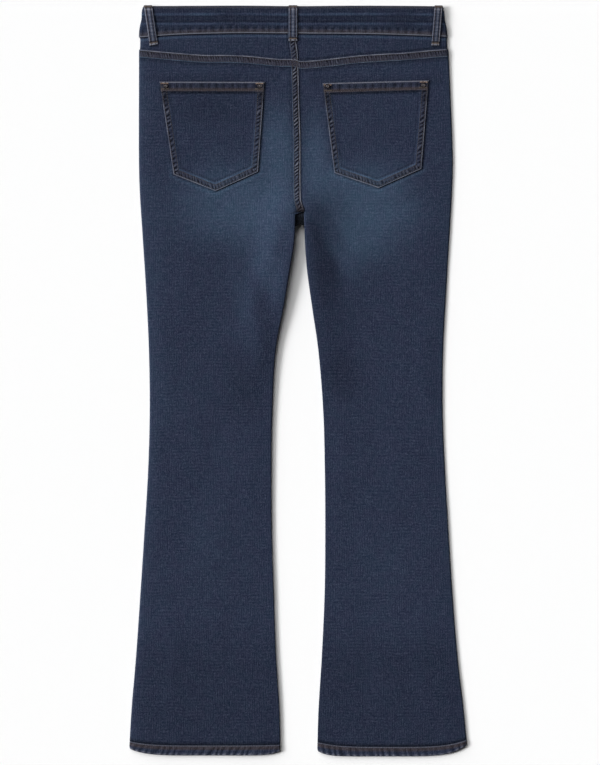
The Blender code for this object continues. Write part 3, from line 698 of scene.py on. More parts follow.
def felled(t, s, width, pitch, lean, seed, bright, glow, tint, rope, depth, line=0.7, crease=0.3,
           far=0.12, nap=0.36):
    """Look of a felled seam: t runs in from its worn edge, s along it.

    Its ridges come at a pitch and lean over; line and crease are the place of the bright edge and the
    depth of the dark line beside it, nap the wear on the crests and depth the dark between them.
    """
    between = ramp(1.6, 2.8, t) * ramp(width - 1.4, width - 2.8, t)
    uneven = 0.75 + 0.4 * wander(s / pitch / 1.7 + 0.12 * t, seed + 3)
    ridge = ripple(s, pitch, 0.34, seed, lean * t) * uneven
    rows = bell(t, FIRST_ROW, 0.45) + bell(t, width - SECOND_ROW, 0.5)
    edge = bell(t, line, 0.65) * (0.85 + 0.3 * wander(s / 9, seed + 1))
    far_edge = bell(t, width - 0.9, 0.9) * (0.8 + 0.4 * wander(s / 11, seed + 2))
    crest = depth * np.clip(ridge, 0, 1) ** 1.5
    dip = depth * np.clip(-ridge, 0, 1) * (0.55 + 0.75 * bell(t, 3.6, 1.7))
    return {
        "raised": rope * ridge * between - 0.22 * rows - 0.35 * rounded(np.minimum(t, width - t), 0.5),
        "wear": np.clip(bright * edge + far * far_edge + nap * crest * between, 0, 1),
        "tan": tint * between * (0.75 + 0.25 * wander(s / 23, seed + 4)),
        "shade": np.clip(dip * between + crease * bell(t, line + 1.9, 0.7), 0, 0.85),
        "pale": glow * far_edge,
    }


seam_denim = denim_material("seam_denim")


def band(name, x, y, look):
    """Lay a narrow band of turned-in cloth on the back."""
    look["fade"] = fade_and_painted_light(1, x, y) + look["pale"]
    outer = on_cloth(1, x, y, FELL + look["raised"])
    return cloth_mesh(name, x, y, outer, on_cloth(1, x, y, 0.05), 1, look, seam_denim)


def seat_seam(name, low, high, seed):
    s = np.linspace(low, high, int((high - low) / 0.8))
    t = stations(EDGE_STATIONS, EDGE_STATIONS, SEAT_BAND, 10)[::-1]
    y = np.broadcast_to(s[:, None], (len(s), len(t)))
    x = lap_edge(y) - t
    upper = ramp(*MID_SEAT, y)
    look = felled(t[None, :], y, SEAT_BAND, pitch=5.2, lean=0.8, seed=seed, bright=1.3 - 0.42 * upper,
                  glow=0.7, tint=0.2, rope=0.28, depth=1.9, line=0.65 + 0.25 * upper, crease=0.75,
                  far=0.26, nap=0.46)
    # The band's lower end by the crotch fades into painted shade with a browner tint, a line of painted shade
    # lies just below the yoke band at the crossing, and painted shade lies beside the centre belt loop.
    shaded_end = ramp(262, 244, y)
    crossing = ramp(450.5, 452.5, y) * ramp(SEAT_TOP + 3, SEAT_TOP + 1, y)      # where the yoke seams meet it
    wear = look["wear"] * (1 - 0.5 * shaded_end)
    look["wear"] = wear * (1 - 0.7 * crossing) + 0.55 * bell(y, SEAT_TOP, 0.8) * crossing
    shade = np.maximum(look["shade"], 0.45 * shaded_end + 0.35 * ramp(248, 243, y))
    shade = shade * (1 - 0.5 * crossing) + 0.3 * bell(y, 450.0, 1.2)
    look["shade"] = np.maximum(shade, painted_shade_by_loops(x, y))
    look["tan"] = np.maximum.reduce([look["tan"], 0.6 * shaded_end, 0.5 * crossing])
    return band(name, x, y, look)


def yoke_seam(side, seed, far):
    middle = lap_edge(YOKE_ROW - 4)
    left = read(SIDES, YOKE_ROW) + 0.4 if side == "left" else middle + GAP
    right = middle if side == "left" else read(SIDES, YOKE_ROW, "right") - 0.4
    s = np.linspace(left, right, int((right - left) / 0.9))
    t = stations(EDGE_STATIONS, EDGE_STATIONS, YOKE_BAND, 10)[::-1, None]
    x = np.broadcast_to(s, (len(t), len(s)))
    look = felled(t, x, YOKE_BAND, pitch=3.9, lean=-0.3, seed=seed, bright=0.85, glow=1.3, tint=0.42,
                  rope=0.16, depth=1.0, far=far)
    return band("yoke_seam_" + side, x, read(YOKE_SEAM, x) - t, look)


bands = {
    "seat": seat_seam("seat_seam", BACK_CROTCH + 2, SEAT_TOP, 1.0),
    "left": yoke_seam("left", 2.0, 0.20),
    "right": yoke_seam("right", 3.0, 0.34),
    "yoke": seat_seam("yoke_centre_seam", SEAT_TOP + 1, 500, 4.0),
}


# Back yokes. Two shallow shaped pieces above the leg panels that give the seat its curve. They are
# darker than the seat, because the waistband and belt shade them from wear.

OUTWARDS = {"left": -1, "right": 1}


def yoke(side):
    def y_at(base, x):
        low = read(YOKE_SEAM, x) + GAP
        return low + base * (read(WAIST_SEAM, x) - GAP - low)

    def look(x, y):
        below_waist = read(WAIST_SEAM, x) - y
        # Painted shade above the yoke seam's band, deeper on the right, and beside the belt loops; the
        # ditches below the waistband and beside the seat seam are partly unrubbed dye, partly painted shade.
        shade = np.maximum.reduce([
            (0.225 if side == "left" else 0.5) * bell(y - read(YOKE_SEAM, x), 2.4, 1.3),
            ditch_dye_and_shade(below_waist, 0.66, 2.1),
            ditch_dye_and_shade(beside_seat_seam(side, x, y), 0.45, 4.0),
            painted_shade_by_loops(x, y),
        ])
        # A painted highlight along the cloth just below the waistband seam.
        return {"shade": shade, "fade": fade_and_painted_light(1, x, y) - 0.12 + 0.75 * bell(below_waist, 3.9, 1.7)}

    bases = stations((0, 0.01, 0.03), (0, 0.01, 0.03), 1, 22)
    edges = in_order(side, read(SIDES, y_at(bases, OUTWARDS[side] * HALF_WAIST), side),
                     lap_edge(YOKE_ROW + 15) + (GAP if side == "right" else 0))
    return lay_cloth("yoke_" + side, 1, bases, y_at, edges, in_order(side, 1, 0), DENIM, 66,
                     leg_denim, look)


yokes = {side: yoke(side) for side in OUTWARDS}


# Back waistband. One straight strip folded lengthways over the top of the yokes and stitched along
# both edges, so that the turnings inside it show as two soft ridges worn pale.

WAISTBAND_WALL = 2.3
WAISTBAND_PROUD = 1.2
WAISTBAND_ROW = 2.6        # from either edge in to its row of stitches
UPPER_RIDGE = 12.3         # ridges, and the valleys between them, below the upper edge
UPPER_VALLEY = 15.9
LOWER_VALLEY = 22.1
LOWER_RIDGE = 26.1
WAISTBAND_ENDS = (0, 0.004, 0.012, 0.024, 0.04)
waistband_denim = denim_material("waistband_denim")


def channel(x, down, height, seed):
    """Look of a waistband: down runs from its upper edge to its seam, over its height."""
    up = height - down
    low_zone = ramp(12.5, 8.5, up) * ramp(1.4, 3.0, up)
    pleats = ripple(x, 11.5, 0.35, seed) * low_zone
    tucks = ripple(x, 5.8, 0.3, seed + 1, 0.5 * up) * low_zone
    upper = bell(down, UPPER_RIDGE, 2.0)
    lower = bell(down, LOWER_RIDGE, 1.8)
    valley = 0.8 * bell(down, UPPER_VALLEY, 1.3) + bell(down, LOWER_VALLEY, 1.5)
    top_edge = bell(down, 0, 1.3)
    rows = bell(down, WAISTBAND_ROW, 0.5) + bell(up, WAISTBAND_ROW, 0.5)
    above_seam = ramp(7.6, 5.0, up) * ramp(1.8, 3.0, up)
    crest = np.clip(pleats, 0, 1)
    dip = np.clip(-pleats, 0, 1)
    worn = 0.7 + 0.5 * wander(x / 31, seed + 2)
    return {
        "raised": 0.32 * upper + 0.30 * lower - 0.30 * valley + 0.20 * pleats + 0.08 * tucks
        - 0.20 * rows - 0.6 * rounded(np.minimum(down, up), 0.9),
        "wear": np.clip(0.42 * top_edge + 0.28 * bell(down, 3.0, 1.3) + 1.1 * bell(up, 1.0, 0.75)
                        + 0.18 * crest, 0, 1),
        "tan": 0.42 * above_seam + 0.2 * top_edge,
        "shade": np.clip(0.34 * valley + 0.40 * dip, 0, 0.9),
        "pale": (1.15 * upper + 1.0 * lower) * worn + 0.5 * above_seam,
    }


def waistband_back():
    def y_at(base, x):
        return read(WAIST_SEAM, x) + base * (read(WAIST_TOP, x) - read(WAIST_SEAM, x))

    def look(x, y):
        top = read(WAIST_TOP, x)
        seen = channel(x, top - y, top - read(WAIST_SEAM, x), 1.0)
        seen["fade"] = fade_and_painted_light(1, x, y) - 0.38 + seen["pale"]
        # Painted shade beside the belt loops.
        seen["shade"] = np.maximum(seen["shade"], painted_shade_by_loops(x, y))
        return seen

    bases = stations(WAISTBAND_ENDS, WAISTBAND_ENDS, 1, 31)
    edges = [read(SIDES, y_at(bases, OUTWARDS[side] * HALF_WAIST), side) for side in OUTWARDS]
    return lay_cloth("waistband_back", 1, bases, y_at, edges, (1, 1), WAISTBAND_WALL, 300,
                     waistband_denim, look, WAISTBAND_PROUD)


back_waistband = waistband_back()


# Back patch pockets. Five-sided patches with the top edge hemmed and the others turned in, sewn to
# the seat with two rows of stitches; the doubled edges have puckered and worn between the rows.

POCKET_WALL = 1.3
POCKET_BORDER = 9.8
POCKET_HEM = 13.6
POCKET_BORDER_WALL = 1.8
POCKET_ROWS = (2.0, POCKET_BORDER - 1.7)      # rows of stitches, in from the edges
POCKET_HEM_ROW = 11.8
RIVET_INSET = (8.3, 6.2)   # middle of a rivet, in from the pocket's side and its upper edge
POCKET_EDGE = (0, 0.12, 0.35, 0.7, 1.1, 1.6, 2.2, 3.0, 3.9, 4.8, 5.7, 6.5, 7.2, 7.8, 8.4, 9.0, 9.7)
POCKET_TOP = (0, 0.12, 0.35, 0.7, 1.2, 1.9, 2.7, 3.6, 4.5, 5.4, 6.3, 7.2, 8.1, 9.0, 9.9, 10.7, 11.4,
              12.0, 12.5, 12.9, 13.3, 13.8)
pocket_denim = denim_material("pocket_denim")


def pocket_grid(side):
    """Points over a pocket, row by row from its foot to its top."""
    top_left, top_right, low_right, tip, low_left = (np.array(corner) for corner in POCKETS[side])
    width = math.dist(top_left, top_right)
    height = math.dist(top_left, low_left)
    u = (stations(POCKET_EDGE, POCKET_EDGE, width, 74) / width)[:, None]
    v = (stations(POCKET_TOP, POCKET_EDGE, height, 86) / height)[::-1, None, None]
    upper = top_left + u * (top_right - top_left)
    lower = np.where(u < 0.5, low_left + 2 * u * (tip - low_left), tip + (2 * u - 1) * (low_right - tip))
    grid = upper + v * (lower - upper)
    return grid[..., 0], grid[..., 1]


def pocket_look(side, x, y):
    down, right, low_r, low_l, left = np.abs(pocket_edges(side, x, y))
    sides = np.minimum(left, right)
    lows = np.minimum(low_l, low_r)
    seed = 1.0 if side == "left" else 2.0
    # Edges that turn away from the lamp get a brighter worn line: painted light against their shading.
    away_from_lamp = np.where(left < right, 0.0, 1.0)
    side_look = felled(sides, y, POCKET_BORDER, pitch=6.4, lean=1.2 * away_from_lamp - 0.6, seed=seed,
                       bright=0.60 + 0.30 * away_from_lamp, glow=0.45, tint=0.12, rope=0.24, depth=1.3,
                       line=0.7 - 0.15 * away_from_lamp)
    away_from_lamp = np.where(low_l < low_r, 0.0, 1.0)
    low_look = felled(lows, x, POCKET_BORDER + 0.8, pitch=4.8, lean=0.3, seed=seed + 2,
                      bright=0.75 + 0.25 * away_from_lamp, glow=1.3, tint=0.25, rope=0.14, depth=1.25,
                      line=0.8 - 0.4 * away_from_lamp)
    border = {key: np.where(sides < lows, side_look[key], low_look[key]) for key in side_look}
    border_width = POCKET_BORDER + 0.8 * ramp(20, 0, lows - sides)
    turned_in = ramp(border_width + 0.6, border_width, np.minimum(sides, lows))
    hemmed = ramp(POCKET_HEM + 0.5, POCKET_HEM - 0.3, down)
    in_hem = hemmed > 0.5
    plain = 1 - np.maximum(hemmed, turned_in)
    pleats = ripple(x, 11.2, 0.3, seed + 5) * ramp(1.5, 3.5, down) * ramp(12.5, 9.5, down)
    wall = POCKET_WALL + (POCKET_BORDER_WALL - POCKET_WALL) * (1 - plain)
    rounding = 0.4 * rounded(np.minimum(down, np.minimum(sides, lows)), 0.5)
    sags = 0.12 * np.sin(x / 9) * np.sin(y / 13)
    low_edge = bell(down, 12.7, 0.8)
    hem_wear = 0.80 * bell(down, 0.9, 0.8) + 0.24 * low_edge + 0.10 * np.clip(pleats, 0, 1)
    hem_shade = 0.40 * np.clip(-pleats, 0, 1) + 0.22 * bell(down, 5.2, 2.0)
    # Painted shadow below the hem's raised lower edge.
    shadow_below_hem = 0.62 * ramp(13.4, 14.4, down) * ramp(19.0, 15.6, down)
    corner = 0.45 * ramp(24, 12, np.abs(down - 14)) * ramp(14, 7, sides) * (1 - hemmed)
    # Painted shade on the cloth round each rivet.
    shade_round_rivet = 0.7 * ramp(5.6, 4.2, np.hypot(sides - RIVET_INSET[0], down - RIVET_INSET[1]))
    within = np.minimum(sides, lows) - border_width
    inner = np.where(sides < lows, 0.16, 0.32) * bell(within, 2.4, 1.3) * ramp(0.0, 8.0, down - POCKET_HEM)
    return {
        "raised": wall - rounding + sags * plain + np.where(
            in_hem, 0.24 * pleats - 0.22 * bell(down, POCKET_HEM_ROW, 0.5), turned_in * border["raised"]),
        "wear": np.where(in_hem, np.maximum(hem_wear, 0.45 * bell(sides, 0.8, 0.6)),
                         border["wear"] * turned_in),
        "tan": np.where(in_hem, 0.55 * ramp(7.5, 10.5, down) + 0.1, border["tan"] * turned_in),
        "shade": np.where(in_hem, np.maximum(hem_shade, shade_round_rivet), np.maximum.reduce(
            [border["shade"] * turned_in, shadow_below_hem, corner, inner])),
        "fade": fade_and_painted_light(1, x, y) - 0.01 + np.where(in_hem, 0.3 * low_edge, border["pale"]),
    }


def back_pocket(side):
    x, y = pocket_grid(side)
    look = pocket_look(side, x, y)
    level = cloth_level(1, x, y) + GAP
    piece = cloth_mesh("back_pocket_" + side, x, y, level + look["raised"], level, 1, look, pocket_denim)
    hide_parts("back_pocket_" + side)
    return piece


pockets = {side: back_pocket(side) for side in OUTWARDS}


# Hems. Each leg end is turned up twice and stitched with one row near its upper edge; washing has
# twisted the turning into slanting ridges that are pale on top and dark between.

HEM_WALL = 1.9
HEM_PROUD = 0.8            # step from the leg up to its hem
HEM_ROW = 1.3              # from the hem's upper edge down to its stitches
TWIST_PITCH = 9.8
HEM_ROUNDING = ((0.0, 1.2), (0.12, 0.5), (0.35, 0.1), (1.0, 0.0))
hem_denim = denim_material("hem_denim")


def hem(side, layer):
    lean, seed = (0.55, 1.0) if side == "left" else (-0.2, 4.0)

    def y_at(base, x):
        low = hem_curve(side, x, 0)
        return low + base * (hem_curve(side, x, 1) - low)

    def look(x, y):
        down = hem_curve(side, x, 1) - y
        up = y - hem_curve(side, x, 0)
        zone = ramp(1.0, 3.5, down)
        twist = ripple(x, TWIST_PITCH, 0.4, seed, lean * down) * (0.75 + 0.4 * wander(x / 27, seed + 1))
        fine = ripple(x, 4.1, 0.4, seed + 2, 0.9 * down)
        crests = 0.20 * np.clip(twist, 0, 1) + 0.10 * np.clip(fine, 0, 1)
        rounding = 1.3 * rounded(np.minimum(down / 0.8, up / 1.8), 1) * np.where(down < up, 0.4, 1)
        low_edge = 0.36 * bell(up, 1.2, 1.5) * (1 + 0.6 * twist)
        return {
            "raised": (0.26 * twist + 0.08 * fine) * zone - rounding - 0.2 * bell(down, HEM_ROW, 0.5),
            "wear": np.clip(0.42 * bell(down, 0.6, 0.9) + low_edge + crests * zone, 0, 1),
            "tan": 0.6 * ramp(1.2, 2.4, down) * ramp(8.0, 4.5, down),
            "shade": 0.5 * np.clip(-twist, 0, 1) * zone,
            "fade": fade_and_painted_light(layer, x, y) + 0.1,
        }

    bases = stations((0, 0.01, 0.03, 0.06, 0.1), (0, 0.005, 0.015, 0.035, 0.06), 1, 15)
    bottom, line = HEMS[side][0][0], HEMS[side][1][0]
    height = bottom + bases * (line - bottom)
    inset = OUTWARDS[side] * read(HEM_ROUNDING, bases)
    edges = in_order(side, read(SIDES, height, side) - inset, read(INSEAMS, height, side) + inset)
    name, columns, proud = ("hem_back_", 170, HEM_PROUD) if layer > 0 else ("hem_front_", 110, 0.0)
    return lay_cloth(name + side, layer, bases, y_at, edges, (1, 1), HEM_WALL, columns, hem_denim, look,
                     proud)


hems = {(side, layer): hem(side, layer) for side in OUTWARDS for layer in (1, -1)}


# Belt loops. Narrow strips folded in three with two rows of chain stitch along them, turned under at
# both ends and tacked above and below the waistband, so that the middle stands a little off it.

LOOP_WALL = 1.6
LOOP_BOW = 0.7
LOOP_ABOVE = 1.1
LOOP_ROW = 3.3             # rows of chain stitch beside a loop's middle
TOP_TACK = 2.2             # bar tacks, in from a loop's upper and lower end
LOW_TACK = 3.2
LOOP_ENDS = (0, 0.15, 0.4, 0.8, 1.3, 1.9, 2.6)
LOOP_SIDES = (0, 0.12, 0.35, 0.7, 1.2, 1.8, 2.5, 3.2, 3.9, 4.6, 5.3, 5.9)
FRONT_TOP = 516
FRONT_TOP_RISE = 21
WAISTBAND_HEIGHT = 38
FRONT_BAND_PROUD = 0.6
loop_denim = denim_material("loop_denim")


def front_top(x):
    return FRONT_TOP + FRONT_TOP_RISE * (x / HALF_WAIST) ** 2


def front_seam(x):
    return front_top(x) - WAISTBAND_HEIGHT


def loop_ends(name):
    """Heights of a loop's upper end, of the waistband's seam under it, and of its lower end."""
    layer, x_top, x_bottom, _, below, *_ = LOOPS[name]
    top = read(WAIST_TOP, x_top) if layer > 0 else front_top(x_top)
    seam = read(WAIST_SEAM, x_bottom) if layer > 0 else front_seam(x_bottom)
    return float(top + LOOP_ABOVE), float(seam), float(seam - below)


def belt_loop(name):
    layer, x_top, x_bottom, width, _, slope, over_seam, left_wear, right_wear, _ = LOOPS[name]
    top, seam, bottom = loop_ends(name)
    proud = WAISTBAND_PROUD if layer > 0 else FRONT_BAND_PROUD
    s = bottom + stations(LOOP_ENDS, LOOP_ENDS, top - bottom, 56)
    out = stations(LOOP_SIDES, LOOP_SIDES, width, 3) - width / 2
    y = np.broadcast_to(s[:, None], (len(s), len(out)))
    up = y - bottom
    down = top - y
    x = x_bottom + (x_top - x_bottom) * up / (top - bottom) + out
    off = np.abs(out)
    from_edge = width / 2 - off
    rounding = 0.9 * rounded(np.minimum(from_edge, np.minimum(up, down)), 0.8)
    rows = bell(off, LOOP_ROW, 0.6)
    tucks = ripple(y, 5.2, 0.35, x_top / 50)
    tack = bell(up, LOW_TACK, 1.3) + bell(down, TOP_TACK, 1.2)
    under_tack = bell(up, 4.7, 1.3)
    height = y + slope * out * ramp(seam, bottom, y)
    bow = LOOP_BOW * ramp(seam - 1, seam + 8, y) * ramp(4, 12, down)
    step = over_seam + (proud - over_seam) * ramp(seam - 2.5, seam - 0.2, y)
    under = cloth_level(layer, x, height) + layer * (step + GAP + bow)
    outer = under + layer * (LOOP_WALL - rounding - 0.30 * rows + 0.10 * tucks * (off < 5) - 0.25 * tack)
    edge = bell(from_edge, 0.8, 0.75) * np.where(out < 0, left_wear, right_wear)
    middle = 0.50 * bell(off, 0, 1.5) * (1 + 0.3 * tucks) * (1 - under_tack)
    shade = 0.45 * rows * (1 - 0.6 * tucks) + 0.2 * np.clip(-tucks, 0, 1) * (off > 1.8)
    look = {
        "wear": np.clip(edge + middle + 0.8 * bell(up, 1.0, 1.3) + 0.5 * bell(down, 6.2, 1.4), 0, 1),
        "tan": np.clip(0.75 * rows + 0.3 * tack + 0.5 * under_tack + 0.4 * ramp(5.0, 3.6, down), 0, 1),
        "shade": np.clip(shade + 0.6 * under_tack, 0, 0.9),
        "fade": 0.2,
    }
    piece = cloth_mesh(name, x, height, outer, under, layer, look, loop_denim)
    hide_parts(name)
    return piece


loops = {name: belt_loop(name) for name in LOOPS}


# Front leg panels. The same denim underneath, from hem to waistband, each with its upper corner cut
# out for the hand pocket. The left one laps over the right one down the fly.

SCOOP_WIDTH = 100
SCOOP_BOTTOM = 410
SCOOP_RECESS = 0.5
FRONT_ROW_TOP = FRONT_TOP - WAISTBAND_HEIGHT - GAP


def scoop_width(y):
    """Width of the pocket opening on a row, an ellipse's quarter."""
    t = (FRONT_ROW_TOP - y) / (FRONT_ROW_TOP - SCOOP_BOTTOM)
    return SCOOP_WIDTH * np.sqrt(np.maximum(1 - t * t, 0))


def beside_opening(side, x, y):
    """Distance from the edge of a pocket opening into the leg panel."""
    cut = OUTWARDS[side] * (read(SIDES, y, side) - x)
    return cut - scoop_width(y - front_seam(x) + FRONT_ROW_TOP)


def front_height(side, base, x):
    """Height of a front row at any x: it bends with the hem below and the waistband's seam above."""
    high = ramp(LIFT_STARTS, FRONT_ROW_TOP, base) * (front_seam(x) - GAP - FRONT_ROW_TOP)
    return base + hem_pull(side, base, x) + high


def front_panel(side):
    laps = side == "left"
    centre = CENTRE_FRONT + OUTWARDS[side] * GAP / 2

    def look(x, y):
        opening = np.where(y > SCOOP_BOTTOM, beside_opening(side, x, y), math.inf)
        fly = np.abs(x - centre)
        in_fly = (y > FRONT_CROTCH).astype(float)
        lap = FELL * ramp(FELL_WIDTH + 0.6, FELL_WIDTH - 0.6, fly) - 0.2 * bell(fly, 2, 0.6)
        worn = 0.75 * bell(opening, 0, 1.0) + 0.5 * in_fly * bell(fly, 0, 1.0)
        # Darker above the hem (unrubbed dye and painted shade), and a painted shadow deep between the legs at
        # the crotch, where the front shows through the gap.
        painted_crotch_shadow = 0.96 * np.exp(-((x - CENTRE_FRONT) / 13) ** 4 - ((y - FRONT_CROTCH) / 18) ** 4)
        shade = [ditch_dye_and_shade(y - hem_curve(side, x, 1), 0.45, 3.4), painted_crotch_shadow, 0.3 * in_fly * bell(fly, 9.4, 1.0)]
        return {
            "raised": laps * in_fly * lap - 0.2 * bell(opening, 2.0, 0.5),
            "wear": np.clip(worn, 0, 1) * (1 - painted_crotch_shadow),
            "shade": np.maximum.reduce(shade),
        }

    bases = np.concatenate([
        np.linspace(HEM_MEAN, FRONT_CROTCH - 2, 150), np.linspace(FRONT_CROTCH + 2, 408, 38),
        [SCOOP_BOTTOM - 0.5], np.linspace(SCOOP_BOTTOM + 0.5, 430, 14),
        np.linspace(433, FRONT_ROW_TOP, 12)])
    above = bases > FRONT_CROTCH
    outer = read(SIDES, front_height(side, bases, OUTWARDS[side] * HALF_WAIST), side)
    edges = in_order(side, outer - OUTWARDS[side] * scoop_width(bases),
                     np.where(above, centre, read(INSEAMS, bases, side)))
    rolls = in_order(side, np.where(bases >= SCOOP_BOTTOM, 0, 1), np.where(above, 0, 1))
    return lay_cloth("front_panel_" + side, -1, bases, partial(front_height, side), edges, rolls, DENIM,
                     46, leg_denim, look)


front_panels = {side: front_panel(side) for side in OUTWARDS}


# Front pocket facings. The side-front pieces that show in the pocket openings, a layer further in,
# cut from the same denim as the leg panels.

def pocket_facing(side):
    def look(x, y):
        # Darker under the opening's edge: unrubbed dye and painted shade.
        under_edge = np.abs(beside_opening(side, x, y))
        return {"shade": ditch_dye_and_shade(under_edge, 0.55, 5.0), "fade": fade_and_painted_light(-1, x, y) - 0.1}

    bases = np.concatenate([np.linspace(SCOOP_BOTTOM + 1, 430, 14), np.linspace(433, FRONT_ROW_TOP, 14)])
    outer = read(SIDES, front_height(side, bases, OUTWARDS[side] * HALF_WAIST), side)
    edges = in_order(side, outer, outer - OUTWARDS[side] * (scoop_width(bases) - GAP))
    return lay_cloth("pocket_facing_" + side, -1, bases, partial(front_height, side), edges,
                     in_order(side, 1, 0), DENIM, 30, leg_denim, look, -SCOOP_RECESS)


facings = {side: pocket_facing(side) for side in OUTWARDS}


# Front waistband halves. Shaped strips of the same folded denim that dip towards the fly, where the
# left end laps over and takes the button.

FLY_END = CENTRE_FRONT + 13


def waistband_front(side, end, seed):
    def y_at(base, x):
        return front_top(x) - (1 - base) * WAISTBAND_HEIGHT

    def look(x, y):
        seen = channel(x, front_top(x) - y, WAISTBAND_HEIGHT, seed)
        seen["fade"] = fade_and_painted_light(-1, x, y) - 0.15
        seen["wear"] = np.maximum(seen["wear"], 0.6 * bell(x, end, 1.2))
        return seen

    bases = stations(WAISTBAND_ENDS, WAISTBAND_ENDS, 1, 23)
    edges = in_order(side, read(SIDES, y_at(bases, OUTWARDS[side] * HALF_WAIST), side), end)
    return lay_cloth("waistband_front_" + side, -1, bases, y_at, edges, in_order(side, 1, 0),
                     WAISTBAND_WALL, 110, waistband_denim, look, FRONT_BAND_PROUD)


front_waistbands = {
    "left": waistband_front("left", FLY_END, 5.0),
    "right": waistband_front("right", FLY_END + GAP, 6.0),
}


# Topstitching. Spun polyester in faded tobacco brown, about eight stitches to the inch, in two rows on
# the felled seams and pockets and one along every hem. Each stitch sits in the dent that it has pulled.

def thread_material(name, light, dark):
    material, place = new_material(name, Roughness=0.62, Specular_IOR_Level=0.25)
    worn = place.noise(240, 2, 0.6)
    ply = place.waves((9800.0, 9800.0, 0.0))
    colour = (0.18 + 0.18 * ply).mix(worn.rise(0.35, 0.65).mix(dark, light), dark)
    connect(colour, 0.55 + 0.2 * worn, ply, 0.0001, 0.4)
    return material


topstitch_thread = thread_material("topstitch_thread", (0.070, 0.058, 0.056, 1), (0.034, 0.027, 0.026, 1))
hem_thread = thread_material("hem_thread", (0.110, 0.098, 0.100, 1), (0.060, 0.050, 0.050, 1))


def stitch_tree():
    """Geometry Nodes: one short rounded stitch at every pitch along a path, or across it."""
    tree = bpy.data.node_groups.new("stitches", "GeometryNodeTree")
    for name, kind in (("Geometry", "Geometry"), ("Pitch", "Float"), ("Length", "Float"),
                       ("Thickness", "Float"), ("Turn", "Float"), ("Unevenness", "Float"),
                       ("Seed", "Int"), ("Thread", "Material")):
        tree.interface.new_socket(name, in_out="INPUT", socket_type="NodeSocket" + kind)
    tree.interface.new_socket("Geometry", in_out="OUTPUT", socket_type="NodeSocketGeometry")
    given = {socket.name: Link(tree, socket) for socket in tree.nodes.new("NodeGroupInput").outputs}
    add = given["Geometry"].add
    path = add("GeometryNodeMeshToCurve", {}, {"Mesh": given["Geometry"]})
    points = add("GeometryNodeResampleCurve", {"mode": "LENGTH"}, {"Curve": path, "Length": given["Pitch"]})
    tangent = add("GeometryNodeInputTangent", {}, {})
    heading = add("FunctionNodeAlignRotationToVector", {"axis": "X"}, {"Vector": tangent})
    stray = add("FunctionNodeRandomValue", {"data_type": "FLOAT"},
                {2: -1.0, 3: 1.0, "Seed": given["Seed"]}, 1)
    spin = add("FunctionNodeAxisAngleToRotation", {},
               {"Axis": (0, 0, 1), "Angle": stray * given["Unevenness"] + given["Turn"]})
    rotation = add("FunctionNodeRotateRotation", {"rotation_space": "LOCAL"},
                   {"Rotation": heading, "Rotate By": spin})
    bead = add("GeometryNodeMeshUVSphere", {}, {"Segments": 6, "Rings": 5, "Radius": 0.5})
    size = add("ShaderNodeCombineXYZ", {}, {"X": given["Length"], "Y": given["Thickness"],
                                            "Z": given["Thickness"]})
    stitches = add("GeometryNodeInstanceOnPoints", {}, {
        "Points": points, "Instance": bead, "Rotation": rotation, "Scale": size})
    real = add("GeometryNodeRealizeInstances", {}, {"Geometry": stitches})
    smooth = add("GeometryNodeSetShadeSmooth", {}, {"Geometry": real})
    done = add("GeometryNodeSetMaterial", {}, {"Geometry": smooth, "Material": given["Thread"]})
    tree.links.new(done.socket, tree.nodes.new("NodeGroupOutput").inputs["Geometry"])
    return tree


STITCHES = stitch_tree()


def sew(name, paths, thread, seed, pitch=3.2, length=2.9, thickness=0.85, turn=0.0, unevenness=0.06):
    """Sew along paths, each a list of points on the cloth in millimetres."""
    points = np.concatenate(paths) * MM
    ends = set(np.cumsum([len(path) for path in paths]).tolist())
    line = bpy.data.meshes.new(name + "_line")
    line.from_pydata(points.tolist(), [(i, i + 1) for i in range(len(points) - 1) if i + 1 not in ends], [])
    row = add_object(name, line)
    modifier = row.modifiers.new("stitches", "NODES")
    modifier.node_group = STITCHES
    values = {"Pitch": pitch * MM, "Length": length * MM, "Thickness": thickness * MM, "Turn": turn,
              "Unevenness": unevenness, "Seed": seed, "Thread": thread}
    for item in STITCHES.interface.items_tree:
        if item.name in values:
            modifier[item.identifier] = values[item.name]
    seen = row.evaluated_get(bpy.context.evaluated_depsgraph_get())
    row_mesh = bpy.data.meshes.new_from_object(seen)
    row.modifiers.remove(modifier)
    row.data = row_mesh
    bpy.data.meshes.remove(line)
    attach(row, "root")
    return row


STATION = 2.0              # from point to point along a row, before it is sewn
SUNK = 0.05                # how far the rows sink into the back,
FRONT_SUNK = 0.2           # and into the front
OPENING_ROWS = (1.8, 8.0)
FLY_TOP = 472
FLY_BEND = 362             # the fly's outer row is straight down to here, then an ellipse's quarter
FLY_WIDTH = 36
FLY_DROP = 46
LEG_ENDS = {"left": (-240, -28), "right": (31, 240)}


def points_on(layer, x, y, proud):
    x, y = np.broadcast_arrays(np.asarray(x, float), np.asarray(y, float))
    return np.stack([x, y, on_cloth(layer, x, y, proud)], axis=-1)


def rows_of(layer, proud, spans, offsets, path):
    """Rows of stitches beside a seam: path gives x and y at each station for an offset."""
    return [points_on(layer, *path(np.arange(low, high, STATION), offset), proud)
            for low, high in spans for offset in offsets]


def beside(table, sign):
    """Path at an offset above (1) or below (-1) a seam whose height a table or function gives."""
    height = table if callable(table) else partial(read, table)
    return lambda x, offset: (x, height(x) + sign * offset)


def hem_rows(layer, proud):
    return [rows_of(layer, proud, [span], [HEM_ROW], beside(lambda x: hem_curve(side, x, 1), -1))[0]
            for side, span in LEG_ENDS.items()]


